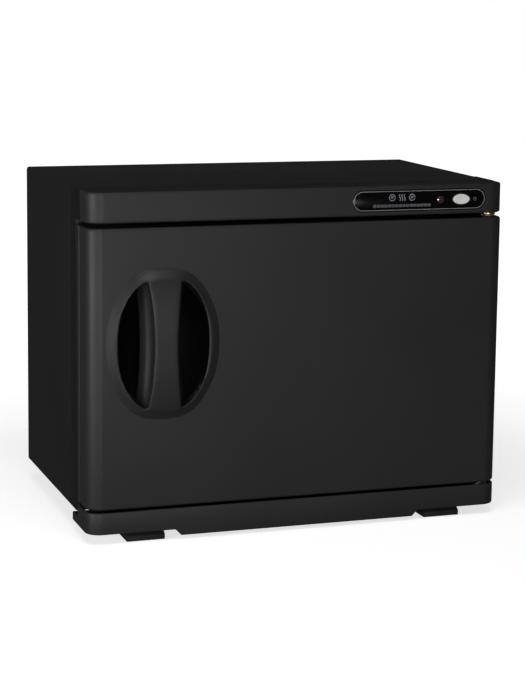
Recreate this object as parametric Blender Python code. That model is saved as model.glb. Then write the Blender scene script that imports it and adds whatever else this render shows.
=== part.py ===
"""A hot towel cabinet: a heated salon cabinet with one side-hung door, two wire racks and a drip tray.

Metres, +Z up. The origin is on the floor, at the centre of the cabinet's box. +X is to the right as
one faces the door, and the door looks along -Y. Depths are measured back from the flat of the door
with back(), and heights up from the lower edge of the steel case with high().
"""

import math

import bmesh
import bpy
from mathutils import Matrix, Vector

MM = 0.001

# Overall sizes
CASE_WIDTH = 450 * MM
CASE_HEIGHT = 331 * MM
CASE_DEPTH = 208 * MM
FRONT_DEPTH = 74 * MM  # the plastic front, from the flat of the door to the steel case
FOOT_HEIGHT = 25 * MM
GRIP_PROUD = 14 * MM  # the crown of the handle, ahead of the door

# Walls and clearances
GAP = 0.3 * MM  # between pieces that touch
SHEET = 1.0 * MM
PLASTIC = 2.5 * MM
RUNNING = 0.5 * MM  # between pieces that slide past each other
FOLD_RADIUS = 3 * MM
RETURN_WIDTH = 12 * MM  # the case's folded-in edges

# Header and door
HEADER_HEIGHT = 30.8 * MM
HEADER_DEPTH = 31 * MM  # the header's front shell
HEADER_GAP = 5 * MM
HEADER_CORNER = 18 * MM
DOOR_CORNER = 16 * MM
DOOR_EDGE = 2.5 * MM
DOOR_SHELL_DEPTH = 32.5 * MM
DOOR_GROOVE = 4 * MM
DOOR_DEPTH = 45 * MM
GASKET_SPACE = 3.7 * MM  # between the closed door and the frame it closes on
FRAME_PLATE = 3 * MM

# Drip tray
TRAY_TOP = 7.9 * MM
TRAY_GAP = 2.7 * MM
TRAY_END = 14.5 * MM  # how far the tray's ends hang below the case
TRAY_MIDDLE = 21 * MM
TRAY_MIDDLE_HALF = 127 * MM
TRAY_STEP = 6 * MM
TRAY_DEPTH = 67 * MM
TRAY_REAR_DROP = 5.3 * MM
TRAY_WALL = 2.2 * MM

# Chamber
SIDE_SPACE = 36 * MM
TOP_SPACE = 51 * MM
FLOOR_SPACE = 24 * MM
REAR_SPACE = 20 * MM
CHAMBER_CORNER = 20 * MM
CHAMBER_FLANGE = 9 * MM
COLLAR_DEPTH = 11 * MM
INSULATION = 13 * MM
INSULATION_REAR = 10 * MM
RIB_DEPTH = 10 * MM
RIB_HEIGHT = 6 * MM
RIB_LEVELS = (88 * MM, 172 * MM)  # above the chamber's outer floor
RACK_INSET = 5 * MM
RACK_FRAME = 4 * MM
RACK_WIRE = 2.6 * MM
RACK_WIRES = 11
RACK_SET_BACK = 23 * MM  # from the chamber's mouth
RACK_REAR_SPACE = 6 * MM
HEATER_SIZE = (300 * MM, 140 * MM)  # the one under the floor
HEATER_RISE = 48 * MM  # of the rear one above the chamber's floor
HEATER_THICK = 2.5 * MM
SENSOR_DROP = 45 * MM  # from the chamber's roof
SENSOR_SIDE = 100 * MM
THERMOSTAT_RADIUS = 8 * MM
CUTOUT_RADIUS = 6 * MM
SENSOR_ROOM = 15 * MM  # between the thermostat and the rear heater
REAR_LEAD_X = -20 * MM  # where the heaters' leads join them
FLOOR_LEAD_X = 30 * MM
LEAD_BORE = 4 * MM

# Gasket and catch
GASKET_WIDTH = 10 * MM
GASKET_INSET = 24.5 * MM  # from the door's side edge to the gasket
GASKET_END_INSET = 2 * MM
CATCH_INSET = 13 * MM
CATCH_SIZE = (8 * MM, 41 * MM)
CATCH_DEPTH = 11.3 * MM

# Handle
HANDLE_SIDE = 77.5 * MM  # from the door's left edge to the middle of the handle
HANDLE_RISE = 24.9 * MM  # above the door's middle
HANDLE_HALF = (57.5 * MM, 75 * MM)
HANDLE_LAP = 3.7 * MM  # how far the rim covers the door around its hole
HANDLE_RIM = (10.2 * MM, 6.6 * MM)  # around the finger pockets
POCKET_POWER = 2.3  # a pocket's outline is fuller than an ellipse
POCKET_END = 0.92  # the share of the outline's height that a pocket fills
GRIP_HALF = 12 * MM
GRIP_END_HALF = 17 * MM
GRIP_FLARE = 9 * MM
GRIP_DEPTH = 14 * MM
CUP_ROOM = 7 * MM  # behind the handle's cup
CUP_WALL = 2 * MM

# Hinges
HINGE_INSET = 11 * MM
HINGE_DEPTH = 20 * MM
PIN_RADIUS = 3 * MM
PIN_REACH = 13 * MM
BUSH_WALL = 2 * MM
BUSH_LAP = 2 * MM
BUSH_FLANGE = 1 * MM
BRACKET_THICK = 2.5 * MM
BRACKET_HALF = 8 * MM
BRACKET_ROOM = 10 * MM  # between a bracket's tail and the steel case
UPPER_BRACKET_DROP = 0.9 * MM
LOWER_BRACKET_HEIGHT = 3 * MM

# Control panel
PLATE_SIZE = (148.6 * MM, 22 * MM)
PLATE_SIDE = 97.7 * MM  # from the case's right side to the middle of the plate
PLATE_THICK = 1 * MM
PLATE_SUNK = 0.2 * MM
SWITCH_SIDE = 50.8 * MM
LAMP_SIDE = 74.6 * MM
ROCKER_SIZE = (18.6 * MM, 10.7 * MM)
ROCKER_PLAY = (0.8 * MM, 0.6 * MM)
ROCKER_COLLAR = 0.8 * MM
ROCKER_PROUD = 1.2 * MM
ROCKER_AXIS = 3 * MM
ROCKER_TILT = 6.0  # degrees each side of square
LAMP_RING = 3.6 * MM
LAMP_LENS = 2.5 * MM

# Feet and screws
FOOT_WIDTH = 40 * MM
FOOT_SIDE = 62 * MM  # from the case's side to the middle of a foot
FRONT_FOOT = (6 * MM, 110 * MM)
FOOT_LIP = 6 * MM
REAR_FOOT_RADIUS = 16 * MM
REAR_FOOT_INSET = 28 * MM
FOOT_GRIP = 12 * MM  # rubber between a foot screw's head and the case
SCREW_RADIUS = 1.7 * MM
SCREW_HEAD = 3.6 * MM
SCREW_HEAD_THICK = 1.9 * MM

# Rear
REAR_RECESS = 4 * MM
INLET_SIDE = 60 * MM
FUSE_SIDE = 100 * MM
REAR_ELECTRIC_DROP = 24 * MM
INLET_BODY = (27 * MM, 20 * MM)
FUSE_RADIUS = 5.5 * MM
WIRE_RADIUS = 1.2 * MM

FRONT_Y = -(FRONT_DEPTH + CASE_DEPTH - GRIP_PROUD) / 2
HALF = CASE_WIDTH / 2
DOOR_TOP = CASE_HEIGHT - HEADER_HEIGHT - HEADER_GAP
DOOR_BOTTOM = TRAY_TOP + TRAY_GAP
CASE_BACK = FRONT_DEPTH + CASE_DEPTH
PANEL_OUT = CASE_BACK - REAR_RECESS
CHAMBER_HALF = HALF - SIDE_SPACE
CHAMBER_TOP = CASE_HEIGHT - TOP_SPACE
FRAME_FACE = DOOR_DEPTH + GASKET_SPACE
CHAMBER_FRONT = FRAME_FACE + FRAME_PLATE + GAP
CHAMBER_BACK = CASE_BACK - REAR_SPACE
PLATE_HEIGHT = CASE_HEIGHT - HEADER_HEIGHT / 2
DOOR_MIDDLE = (DOOR_TOP + DOOR_BOTTOM) / 2
HANDLE_X = HANDLE_SIDE - HALF
HANDLE_HEIGHT = DOOR_MIDDLE + HANDLE_RISE
HANDLE_HOLE = (HANDLE_HALF[0] - HANDLE_LAP, HANDLE_HALF[1] - HANDLE_LAP)
POCKET_HALF = (HANDLE_HALF[0] - HANDLE_RIM[0], HANDLE_HALF[1] - HANDLE_RIM[1])
CUP_DEPTH = DOOR_DEPTH - CUP_ROOM
HINGE_X = HALF - HINGE_INSET
BUSH_RADIUS = PIN_RADIUS + BUSH_WALL
CATCH_X = HALF - CATCH_INSET


def back(depth):
    return FRONT_Y + depth


def high(height):
    return FOOT_HEIGHT + height


# ---- shapes ----


def material(name, colour, roughness, metallic=0.0):
    made = bpy.data.materials.get(name) or bpy.data.materials.new(name)
    made.use_nodes = True
    shader = made.node_tree.nodes["Principled BSDF"]
    shader.inputs["Base Color"].default_value = (*colour, 1)
    shader.inputs["Roughness"].default_value = roughness
    shader.inputs["Metallic"].default_value = metallic
    return made


def add(name, points, faces):
    mesh = bpy.data.meshes.new(name)
    work = bmesh.new()
    corners = [work.verts.new(p) for p in points]
    for face in faces:
        work.faces.new([corners[i] for i in face])
    bmesh.ops.recalc_face_normals(work, faces=work.faces)
    work.to_mesh(mesh)
    work.free()
    made = bpy.data.objects.new(name, mesh)
    bpy.context.scene.collection.objects.link(made)
    return made


def placed(axis, u, v, w):
    """(u, v) across the axis and w along it, as a point."""
    return {"X": (w, u, v), "Y": (u, w, v), "Z": (u, v, w)}[axis]


def loft(name, axis, rings):
    """A closed solid through rings of equal length, each an outline and its place along the axis."""
    count = len(rings[0][0])
    points = [placed(axis, u, v, w) for outline, w in rings for u, v in outline]
    faces = [list(range(count)), list(range(len(points) - count, len(points)))]
    for ring in range(len(rings) - 1):
        low = ring * count
        for i in range(count):
            j = (i + 1) % count
            faces.append([low + i, low + j, low + count + j, low + count + i])
    return add(name, points, faces)


def prism(name, axis, outline, low, far):
    return loft(name, axis, [(outline, low), (outline, far)])


def rectangle(u0, v0, u1, v1):
    return [(u0, v0), (u1, v0), (u1, v1), (u0, v1)]


def box(name, x, y, z):
    return prism(name, "Z", rectangle(x[0], y[0], x[1], y[1]), z[0], z[1])


def arc(centre, radius, start, end, steps):
    turns = [math.radians(start + (end - start) * i / steps) for i in range(steps + 1)]
    return [(centre[0] + radius * math.cos(t), centre[1] + radius * math.sin(t)) for t in turns]


def rounded(u0, v0, u1, v1, radius, steps=5):
    outline = arc((u1 - radius, v1 - radius), radius, 0, 90, steps)
    outline += arc((u0 + radius, v1 - radius), radius, 90, 180, steps)
    outline += arc((u0 + radius, v0 + radius), radius, 180, 270, steps)
    outline += arc((u1 - radius, v0 + radius), radius, 270, 360, steps)
    return outline


def ellipse(u, v, half_u, half_v, steps=32):
    turns = [2 * math.pi * i / steps for i in range(steps)]
    return [(u + half_u * math.cos(t), v + half_v * math.sin(t)) for t in turns]


def turned(name, axis, centre, profile, steps=20):
    """A solid of revolution from (radius, place along the axis) pairs."""
    return loft(name, axis, [(ellipse(*centre, r, r, steps), w) for r, w in profile])


def combine(target, other, operation):
    change = target.modifiers.new(operation, "BOOLEAN")
    change.operation = operation
    change.object = other
    graph = bpy.context.evaluated_depsgraph_get()
    mesh = bpy.data.meshes.new_from_object(target.evaluated_get(graph))
    target.modifiers.remove(change)
    target.data = mesh
    mesh.name = target.name
    bpy.data.objects.remove(other)
    return target


def cut(target, *others):
    for other in others:
        combine(target, other, "DIFFERENCE")
    return target


def join(target, *others):
    for other in others:
        combine(target, other, "UNION")
    return target


def soften(target, width, steps, wanted):
    """Rounds the edges whose two ends both pass the test."""
    work = bmesh.new()
    work.from_mesh(target.data)
    edges = [e for e in work.edges if wanted(e) and e.calc_face_angle(0) > math.radians(40)]
    bmesh.ops.bevel(work, geom=edges, offset=width, segments=steps, profile=0.5, affect="EDGES")
    work.to_mesh(target.data)
    work.free()
    return target


def finish(target, look, smooth=True):
    target.data.materials.clear()
    target.data.materials.append(look)
    if smooth:
        target.data.shade_smooth()
        target.data.set_sharp_from_angle(angle=math.radians(35))
    return target


def tube(name, points, radius, look):
    """A wire along a smooth curve through the points, held from end to end."""
    route = smooth_route(points, 3)
    curve = bpy.data.curves.new(name, "CURVE")
    curve.dimensions = "3D"
    curve.bevel_depth = radius
    curve.bevel_resolution = 2
    curve.use_fill_caps = True
    line = curve.splines.new("POLY")
    line.points.add(len(route) - 1)
    for point, place in zip(line.points, route):
        point.co = (*place, 1)
    curve.materials.append(look)
    made = bpy.data.objects.new(name, curve)
    bpy.context.scene.collection.objects.link(made)
    return made


def smooth_route(points, steps):
    places = [Vector(p) for p in points]
    ends = [2 * places[0] - places[1], *places, 2 * places[-1] - places[-2]]
    route = []
    for a, b, c, d in zip(ends, ends[1:], ends[2:], ends[3:]):
        for i in range(steps):
            t = i / steps
            pull = (c - a) * t + (2 * a - 5 * b + 4 * c - d) * t**2 + (3 * b - a - 3 * c + d) * t**3
            route.append(b + pull / 2)
    return route + [places[-1]]


def front_plan(half, corner, near, far, steps=6):
    """A plan with rounded front corners, from depth near to depth far."""
    y0, y1 = back(near), back(far)
    outline = arc((-half + corner, y0 + corner), corner, 180, 270, steps)
    outline += arc((half - corner, y0 + corner), corner, 270, 360, steps)
    return outline + [(half, y1), (-half, y1)]


# ---- steel case ----


def make_outer_case():
    y0, y1 = back(FRONT_DEPTH), back(CASE_BACK)
    outer = arc((HALF - FOLD_RADIUS, high(CASE_HEIGHT) - FOLD_RADIUS), FOLD_RADIUS, 0, 90, 4)
    outer += arc((-HALF + FOLD_RADIUS, high(CASE_HEIGHT) - FOLD_RADIUS), FOLD_RADIUS, 90, 180, 4)
    inner = [(u - math.copysign(SHEET, u), v - SHEET) for u, v in reversed(outer)]
    edge = HALF - RETURN_WIDTH
    left = [(-HALF, high(0)), (-edge, high(0)), (-edge, high(SHEET)), (SHEET - HALF, high(SHEET))]
    right = [(HALF - SHEET, high(SHEET)), (edge, high(SHEET)), (edge, high(0)), (HALF, high(0))]
    case = prism("outer_case", "Y", outer + left + inner + right, y0, y1)
    flange = back(PANEL_OUT - 2 * SHEET - GAP)
    frame = box("flange", (SHEET / 2 - HALF, HALF - SHEET / 2), (flange, flange + SHEET),
                (high(SHEET / 2), high(CASE_HEIGHT - SHEET / 2)))
    inside = box("inside", (-edge, edge), (flange - SHEET, flange + 2 * SHEET),
                 (high(-SHEET), high(CASE_HEIGHT - RETURN_WIDTH)))
    join(case, cut(frame, inside))
    for x, z in rear_screw_places():
        cut(case, turned("hole", "Y", (x, z), [(SCREW_RADIUS + GAP, flange - SHEET),
                                               (SCREW_RADIUS + GAP, flange + 2 * SHEET)], 12))
    return finish(case, material("painted_steel", (0.035, 0.035, 0.036), 0.5, 0.2))


def rear_screw_places():
    side = HALF - RETURN_WIDTH * 0.62
    levels = (20 * MM, CASE_HEIGHT / 2, CASE_HEIGHT - 20 * MM)
    return [(x, high(z)) for x in (-side, side) for z in levels]


def rear_electric(side):
    """The place of a mains fitting on the rear panel."""
    return side - HALF, high(CASE_HEIGHT - REAR_ELECTRIC_DROP)


def make_rear_panel():
    half = HALF - SHEET - RUNNING
    y0, y1 = back(PANEL_OUT - SHEET), back(PANEL_OUT)
    low, top = high(3 * SHEET), high(CASE_HEIGHT - SHEET - RUNNING)
    panel = prism("rear_panel", "Y", rounded(-half, low, half, top, FOLD_RADIUS, 3), y0, y1)
    over = (y0 - SHEET, y1 + SHEET)
    for x, z in rear_screw_places():
        bore = SCREW_RADIUS + GAP
        cut(panel, turned("hole", "Y", (x, z), [(bore, over[0]), (bore, over[1])], 12))
    x, z = rear_electric(INLET_SIDE)
    grow = (INLET_BODY[0] / 2 + GAP, INLET_BODY[1] / 2 + GAP)
    cut(panel, box("inlet", (x - grow[0], x + grow[0]), over, (z - grow[1], z + grow[1])))
    x, z = rear_electric(FUSE_SIDE)
    bore = FUSE_RADIUS + GAP
    cut(panel, turned("fuse", "Y", (x, z), [(bore, over[0]), (bore, over[1])], 16))
    for column in (-1, 1):
        for row in range(6):
            middle = column * HALF / 2
            level = high(60 * MM + row * 14 * MM)
            slot = rounded(middle - 32 * MM, level - 2 * MM, middle + 32 * MM, level + 2 * MM, 1.9 * MM, 2)
            cut(panel, prism("vent", "Y", slot, *over))
    return finish(panel, material("zinc_steel", (0.45, 0.46, 0.47), 0.4, 0.9), False)


def make_base_pan():
    half = HALF - SHEET - RUNNING
    low = high(SHEET + GAP)
    y0, y1 = back(FRONT_DEPTH + 2 * GAP), back(PANEL_OUT - 2 * SHEET - 2 * GAP)
    pan = box("base_pan", (-half, half), (y0, y1), (low, low + SHEET))
    for x, y in foot_screw_places():
        cut(pan, turned("hole", "Z", (x, y), [(SCREW_RADIUS + 2 * GAP, low - SHEET),
                                              (SCREW_RADIUS + 2 * GAP, low + 2 * SHEET)], 12))
    for column in range(-2, 3):
        x = column * 40 * MM
        slot = rounded(x - 2 * MM, back(190 * MM), x + 2 * MM, back(235 * MM), 1.9 * MM, 2)
        cut(pan, prism("vent", "Z", slot, low - SHEET, low + 2 * SHEET))
    return finish(pan, material("zinc_steel", (0.45, 0.46, 0.47), 0.4, 0.9), False)


# ---- plastic front ----


def chamber_outline(grow, steps=5):
    """The chamber's outside, seen from the front, moved out by grow."""
    return rounded(-CHAMBER_HALF - grow, high(FLOOR_SPACE - grow), CHAMBER_HALF + grow,
                   high(CHAMBER_TOP + grow), CHAMBER_CORNER + grow, steps)


def make_front_frame():
    face, plate = back(FRAME_FACE), back(FRAME_FACE + FRAME_PLATE)
    seam = back(FRONT_DEPTH - GAP)
    header_back = back(HEADER_DEPTH + GAP)
    shelf = CASE_HEIGHT - HEADER_HEIGHT
    top = high(CASE_HEIGHT)
    frame = box("front_frame", (-HALF, HALF), (face, seam), (high(0), top))
    hollow = box("hollow", (PLASTIC - HALF, HALF - PLASTIC), (plate, seam + SHEET),
                 (high(PLASTIC), top - PLASTIC))
    cut(frame, hollow)
    header = box("header", (-HALF, HALF), (header_back, plate), (high(shelf), top))
    join(frame, header)
    cut(frame, box("open_header", (PLASTIC - HALF, HALF - PLASTIC),
                   (header_back - SHEET, plate + SHEET), (high(shelf + PLASTIC), top - PLASTIC)))
    lid_inset = PLASTIC + GAP
    lid = front_plan(HALF - lid_inset, HEADER_CORNER - lid_inset, 4 * MM, HEADER_DEPTH + 2 * MM, 12)
    join(frame, prism("lid", "Z", lid, top - PLASTIC, top - GAP / 3))
    lip = SHEET + RUNNING
    lip_line = rounded(lip - HALF, high(3 * PLASTIC), HALF - lip, top - lip, FOLD_RADIUS, 3)
    outer_lip = prism("lip", "Y", lip_line, back(FRONT_DEPTH - 4 * MM), back(FRONT_DEPTH + 6 * MM))
    inner_lip = box("inner", (lip + 2 * MM - HALF, HALF - lip - 2 * MM),
                    (back(FRONT_DEPTH - 5 * MM), back(FRONT_DEPTH + 7 * MM)),
                    (high(0), top - lip - 2 * MM))
    join(frame, cut(outer_lip, inner_lip))
    collar_end = back(FRAME_FACE + COLLAR_DEPTH)
    join(frame, prism("collar", "Y", chamber_outline(-SHEET - 2 * GAP), face + SHEET, collar_end))
    throat = chamber_outline(-SHEET - 2 * GAP - PLASTIC)
    cut(frame, prism("throat", "Y", throat, face - SHEET, collar_end + SHEET))
    pocket = (CATCH_SIZE[0] / 2 + GAP, CATCH_SIZE[1] / 2 + GAP)
    middle = high(DOOR_MIDDLE)
    boss = box("boss", (-CATCH_X - pocket[0] - 2 * MM, -CATCH_X + pocket[0] + 2 * MM),
               (face + SHEET, back(DOOR_DEPTH + CATCH_DEPTH + 3 * MM)),
               (middle - pocket[1] - 2 * MM, middle + pocket[1] + 2 * MM))
    join(frame, boss)
    cut(frame, box("pocket", (-CATCH_X - pocket[0], -CATCH_X + pocket[0]),
                   (face - SHEET, back(DOOR_DEPTH + CATCH_DEPTH + 1 * MM)),
                   (middle - pocket[1], middle + pocket[1])))
    wide = BRACKET_HALF + RUNNING
    for low in (upper_bracket_low(), lower_bracket_low()):
        cut(frame, box("slot", (HINGE_X - wide, HINGE_X + wide), (face - SHEET, plate + SHEET),
                       (low - 0.4 * MM, low + BRACKET_THICK + 0.4 * MM)))
    return finish(frame, material("black_plastic", (0.012, 0.012, 0.013), 0.45))


def make_header_fascia():
    low, top = high(CASE_HEIGHT - HEADER_HEIGHT), high(CASE_HEIGHT)
    fascia = prism("header_fascia", "Z", front_plan(HALF, HEADER_CORNER, 0, HEADER_DEPTH), low, top)
    rear = back(HEADER_DEPTH)
    soften(fascia, 1.5 * MM, 2, lambda e: not all(v.co.y > rear - SHEET for v in e.verts)
           and all(v.co.y < rear - SHEET or v.co.z in (low, top) for v in e.verts))
    inner = front_plan(HALF - PLASTIC, HEADER_CORNER - PLASTIC, PLASTIC, HEADER_DEPTH + PLASTIC)
    cut(fascia, prism("inner", "Z", inner, low + PLASTIC, top + PLASTIC))
    z = high(PLATE_HEIGHT)
    recess = plate_outline(GAP)
    cut(fascia, prism("recess", "Y", recess, back(-SHEET), back(PLATE_SUNK + PLATE_THICK + GAP)))
    cut(fascia, prism("switch", "Y", switch_oval(ROCKER_COLLAR + GAP), back(-SHEET), back(2 * PLASTIC)))
    ring = LAMP_RING - 0.5 * MM + GAP
    through = [(ring, back(-SHEET)), (ring, back(2 * PLASTIC))]
    cut(fascia, turned("lamp", "Y", (HALF - LAMP_SIDE, z), through, 16))
    return finish(fascia, material("charcoal_plastic", (0.035, 0.035, 0.036), 0.42))


def plate_outline(grow):
    """The nameplate's edge, with round ends, moved out by grow."""
    x, z = HALF - PLATE_SIDE, high(PLATE_HEIGHT)
    half = (PLATE_SIZE[0] / 2 + grow, PLATE_SIZE[1] / 2 + grow)
    return rounded(x - half[0], z - half[1], x + half[0], z + half[1], half[1] - 0.01 * MM, 8)


def switch_oval(grow, steps=28):
    """The rocker's opening moved out by grow."""
    return ellipse(HALF - SWITCH_SIDE, high(PLATE_HEIGHT), ROCKER_SIZE[0] / 2 + ROCKER_PLAY[0] + grow,
                   ROCKER_SIZE[1] / 2 + ROCKER_PLAY[1] + grow, steps)


def make_nameplate():
    y0, y1 = back(PLATE_SUNK), back(PLATE_SUNK + PLATE_THICK)
    plate = prism("nameplate", "Y", plate_outline(0), y0, y1)
    cut(plate, prism("switch", "Y", switch_oval(ROCKER_COLLAR + GAP), y0 - SHEET, y1 + SHEET))
    ring = LAMP_RING + GAP
    centre = (HALF - LAMP_SIDE, high(PLATE_HEIGHT))
    cut(plate, turned("lamp", "Y", centre, [(ring, y0 - SHEET), (ring, y1 + SHEET)], 16))
    return finish(plate, material("gloss_black", (0.004, 0.004, 0.006), 0.12))


def make_switch_housing():
    x, z = HALF - SWITCH_SIDE, high(PLATE_HEIGHT)
    inside = PLASTIC + GAP
    housing = prism("switch_housing", "Y", switch_oval(ROCKER_COLLAR), back(-0.3 * MM), back(6 * MM))
    join(housing, box("body", (x - 13 * MM, x + 13 * MM), (back(inside), back(20 * MM)),
                      (z - 9 * MM, z + 9 * MM)))
    cut(housing, prism("well", "Y", switch_oval(0), back(-SHEET), back(14 * MM)))
    return finish(housing, material("black_plastic", (0.012, 0.012, 0.013), 0.45))


def make_power_rocker():
    x, z = HALF - SWITCH_SIDE, high(PLATE_HEIGHT)
    half = (ROCKER_SIZE[0] / 2, ROCKER_SIZE[1] / 2)
    rings = [(0.86, -ROCKER_PROUD), (0.96, 0.4 * MM - ROCKER_PROUD), (1.0, 1.0 * MM - ROCKER_PROUD),
             (1.0, 2 * ROCKER_AXIS), (0.55, 2 * ROCKER_AXIS + 3 * MM)]
    cap = loft("power_rocker", "Y", [(ellipse(0, 0, half[0] * s, half[1] * s, 28), y - ROCKER_AXIS)
                                     for s, y in rings])
    tilt = Matrix.Rotation(math.radians(-ROCKER_TILT), 4, "Z")
    cap.data.transform(tilt)
    cap.location = (x, back(ROCKER_AXIS), z)
    return finish(cap, material("white_plastic", (0.78, 0.76, 0.73), 0.3))


def make_indicator():
    centre = (HALF - LAMP_SIDE, high(PLATE_HEIGHT))
    sleeve = LAMP_RING - 0.5 * MM
    bezel = turned("indicator_bezel", "Y", centre,
                   [(LAMP_RING - 0.4 * MM, back(-1.0 * MM)), (LAMP_RING, back(-0.6 * MM)),
                    (LAMP_RING, back(PLATE_SUNK + PLATE_THICK)), (sleeve, back(PLATE_SUNK + PLATE_THICK)),
                    (sleeve, back(10 * MM))])
    bore = LAMP_LENS + GAP
    cut(bezel, turned("bore", "Y", centre, [(bore, back(-2 * MM)), (bore, back(12 * MM))]))
    finish(bezel, material("bright_ring", (0.7, 0.7, 0.72), 0.2, 0.9))
    lens = turned("indicator_lens", "Y", centre,
                  [(LAMP_LENS * 0.4, back(-1.1 * MM)), (LAMP_LENS * 0.8, back(-0.8 * MM)),
                   (LAMP_LENS, back(-0.2 * MM)), (LAMP_LENS, back(5 * MM))], 16)
    finish(lens, material("lens", (0.12, 0.02, 0.03), 0.1))
    lamp = turned("neon_lamp", "Y", centre, [(2.2 * MM, back(5.3 * MM)), (2.2 * MM, back(18 * MM)),
                                             (1.2 * MM, back(20 * MM))], 12)
    finish(lamp, material("lamp_glass", (0.6, 0.5, 0.45), 0.1))


# ---- door ----


def make_door_shell():
    low, top = high(DOOR_BOTTOM), high(DOOR_TOP)
    rear = back(DOOR_SHELL_DEPTH)
    shell = prism("door_shell", "Z", front_plan(HALF, DOOR_CORNER, 0, DOOR_SHELL_DEPTH), low, top)
    soften(shell, DOOR_EDGE, 3, lambda e: not all(v.co.y > rear - SHEET for v in e.verts)
           and abs(e.verts[0].co.z - e.verts[1].co.z) < SHEET)
    inner = front_plan(HALF - PLASTIC, DOOR_CORNER - PLASTIC, PLASTIC, DOOR_SHELL_DEPTH + PLASTIC)
    cut(shell, prism("inner", "Z", inner, low + PLASTIC, top - PLASTIC))
    hole = ellipse(HANDLE_X, high(HANDLE_HEIGHT), *HANDLE_HOLE, 40)
    cut(shell, prism("handle", "Y", hole, back(-PLASTIC), back(2 * PLASTIC)))
    bush = BUSH_RADIUS + GAP
    centre = (HINGE_X, back(HINGE_DEPTH))
    cut(shell, turned("bush", "Z", centre, [(bush, low - PLASTIC), (bush, top + PLASTIC)], 16))
    return finish(shell, material("charcoal_plastic", (0.035, 0.035, 0.036), 0.42))


def make_door_liner():
    low, top = high(DOOR_BOTTOM), high(DOOR_TOP)
    near, far = DOOR_SHELL_DEPTH + DOOR_GROOVE, DOOR_DEPTH
    liner = box("door_liner", (-HALF, HALF), (back(near), back(far)), (low, top))
    soften(liner, 0.6 * MM, 1, lambda e: True)
    inset = PLASTIC + RUNNING
    tongue = box("tongue", (inset - HALF, HALF - inset),
                 (back(DOOR_SHELL_DEPTH - 4.5 * MM), back(near + SHEET)), (low + inset, top - inset))
    join(liner, tongue)
    wall = inset + 2 * MM
    cut(liner, box("hollow", (wall - HALF, HALF - wall),
                   (back(DOOR_SHELL_DEPTH - 10 * MM), back(far - PLASTIC)), (low + wall, top - wall)))
    seat = (CATCH_SIZE[0] / 2 + 2 * GAP, CATCH_SIZE[1] / 2 + 2 * GAP)
    middle = high(DOOR_MIDDLE)
    cut(liner, box("seat", (-CATCH_X - seat[0], -CATCH_X + seat[0]),
                   (back(far - SHEET - GAP), back(far + SHEET)), (middle - seat[1], middle + seat[1])))
    return finish(liner, material("charcoal_plastic", (0.035, 0.035, 0.036), 0.42))


def make_door_insulation():
    inset = PLASTIC + RUNNING + 2 * MM + RUNNING
    low, top = high(DOOR_BOTTOM) + inset, high(DOOR_TOP) - inset
    corner = DOOR_CORNER - inset
    right = HINGE_X - BUSH_RADIUS - BUSH_LAP - 4 * MM
    y0, y1 = back(PLASTIC + RUNNING), back(DOOR_DEPTH - PLASTIC - RUNNING)
    outline = arc((inset + corner - HALF, y0 + corner), corner, 180, 270, 4)
    foam = prism("door_insulation", "Z", outline + [(right, y0), (right, y1), (inset - HALF, y1)], low, top)
    room = (HANDLE_HOLE[0] + 2 * MM, HANDLE_HOLE[1] + 2 * MM)
    hole = ellipse(HANDLE_X, high(HANDLE_HEIGHT), *room)
    cut(foam, prism("handle", "Y", hole, y0 - PLASTIC, y1 + PLASTIC))
    return finish(foam, material("white_foam", (0.8, 0.78, 0.7), 0.9), False)


def make_door_gasket():
    side = HALF - GASKET_INSET
    low, top = high(DOOR_BOTTOM + GASKET_END_INSET), high(DOOR_TOP - GASKET_END_INSET - 3 * MM)
    y0, y1 = back(DOOR_DEPTH + GAP), back(FRAME_FACE - GAP)
    gasket = prism("door_gasket", "Y", rounded(-side, low, side, top, 12 * MM), y0, y1)
    soften(gasket, 0.9 * MM, 1, lambda e: all(v.co.y > (y0 + y1) / 2 for v in e.verts))
    reach = side - GASKET_WIDTH
    inner = rounded(-reach, low + GASKET_WIDTH, reach, top - GASKET_WIDTH, 5 * MM)
    cut(gasket, prism("inner", "Y", inner, y0 - SHEET, y1 + SHEET))
    return finish(gasket, material("gasket_rubber", (0.02, 0.02, 0.02), 0.8))


def grip_half(rise, flare):
    """Half the grip bar's width at a height above the handle's middle."""
    share = min(1, abs(rise) / POCKET_HALF[1])
    return GRIP_HALF + (GRIP_END_HALF - GRIP_HALF) * share**2 + flare


def pocket(side, flare, grow=0.0):
    """The outline of the finger pocket on one side of the grip bar, with round ends."""
    reach = (POCKET_HALF[0] + grow, POCKET_HALF[1] + grow)
    steps = 16
    far, near = [], []
    for i in range(steps + 1):
        rise = reach[1] * POCKET_END * math.sin(math.pi * (i / steps - 0.5))
        out = reach[0] * (1 - abs(rise / reach[1]) ** POCKET_POWER) ** (1 / POCKET_POWER)
        inner = min(grip_half(rise, flare), out - 3 * MM)
        far.append((HANDLE_X + side * out, high(HANDLE_HEIGHT) + rise))
        near.append((HANDLE_X + side * inner, high(HANDLE_HEIGHT) + rise))
    return far + near[::-1]


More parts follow.
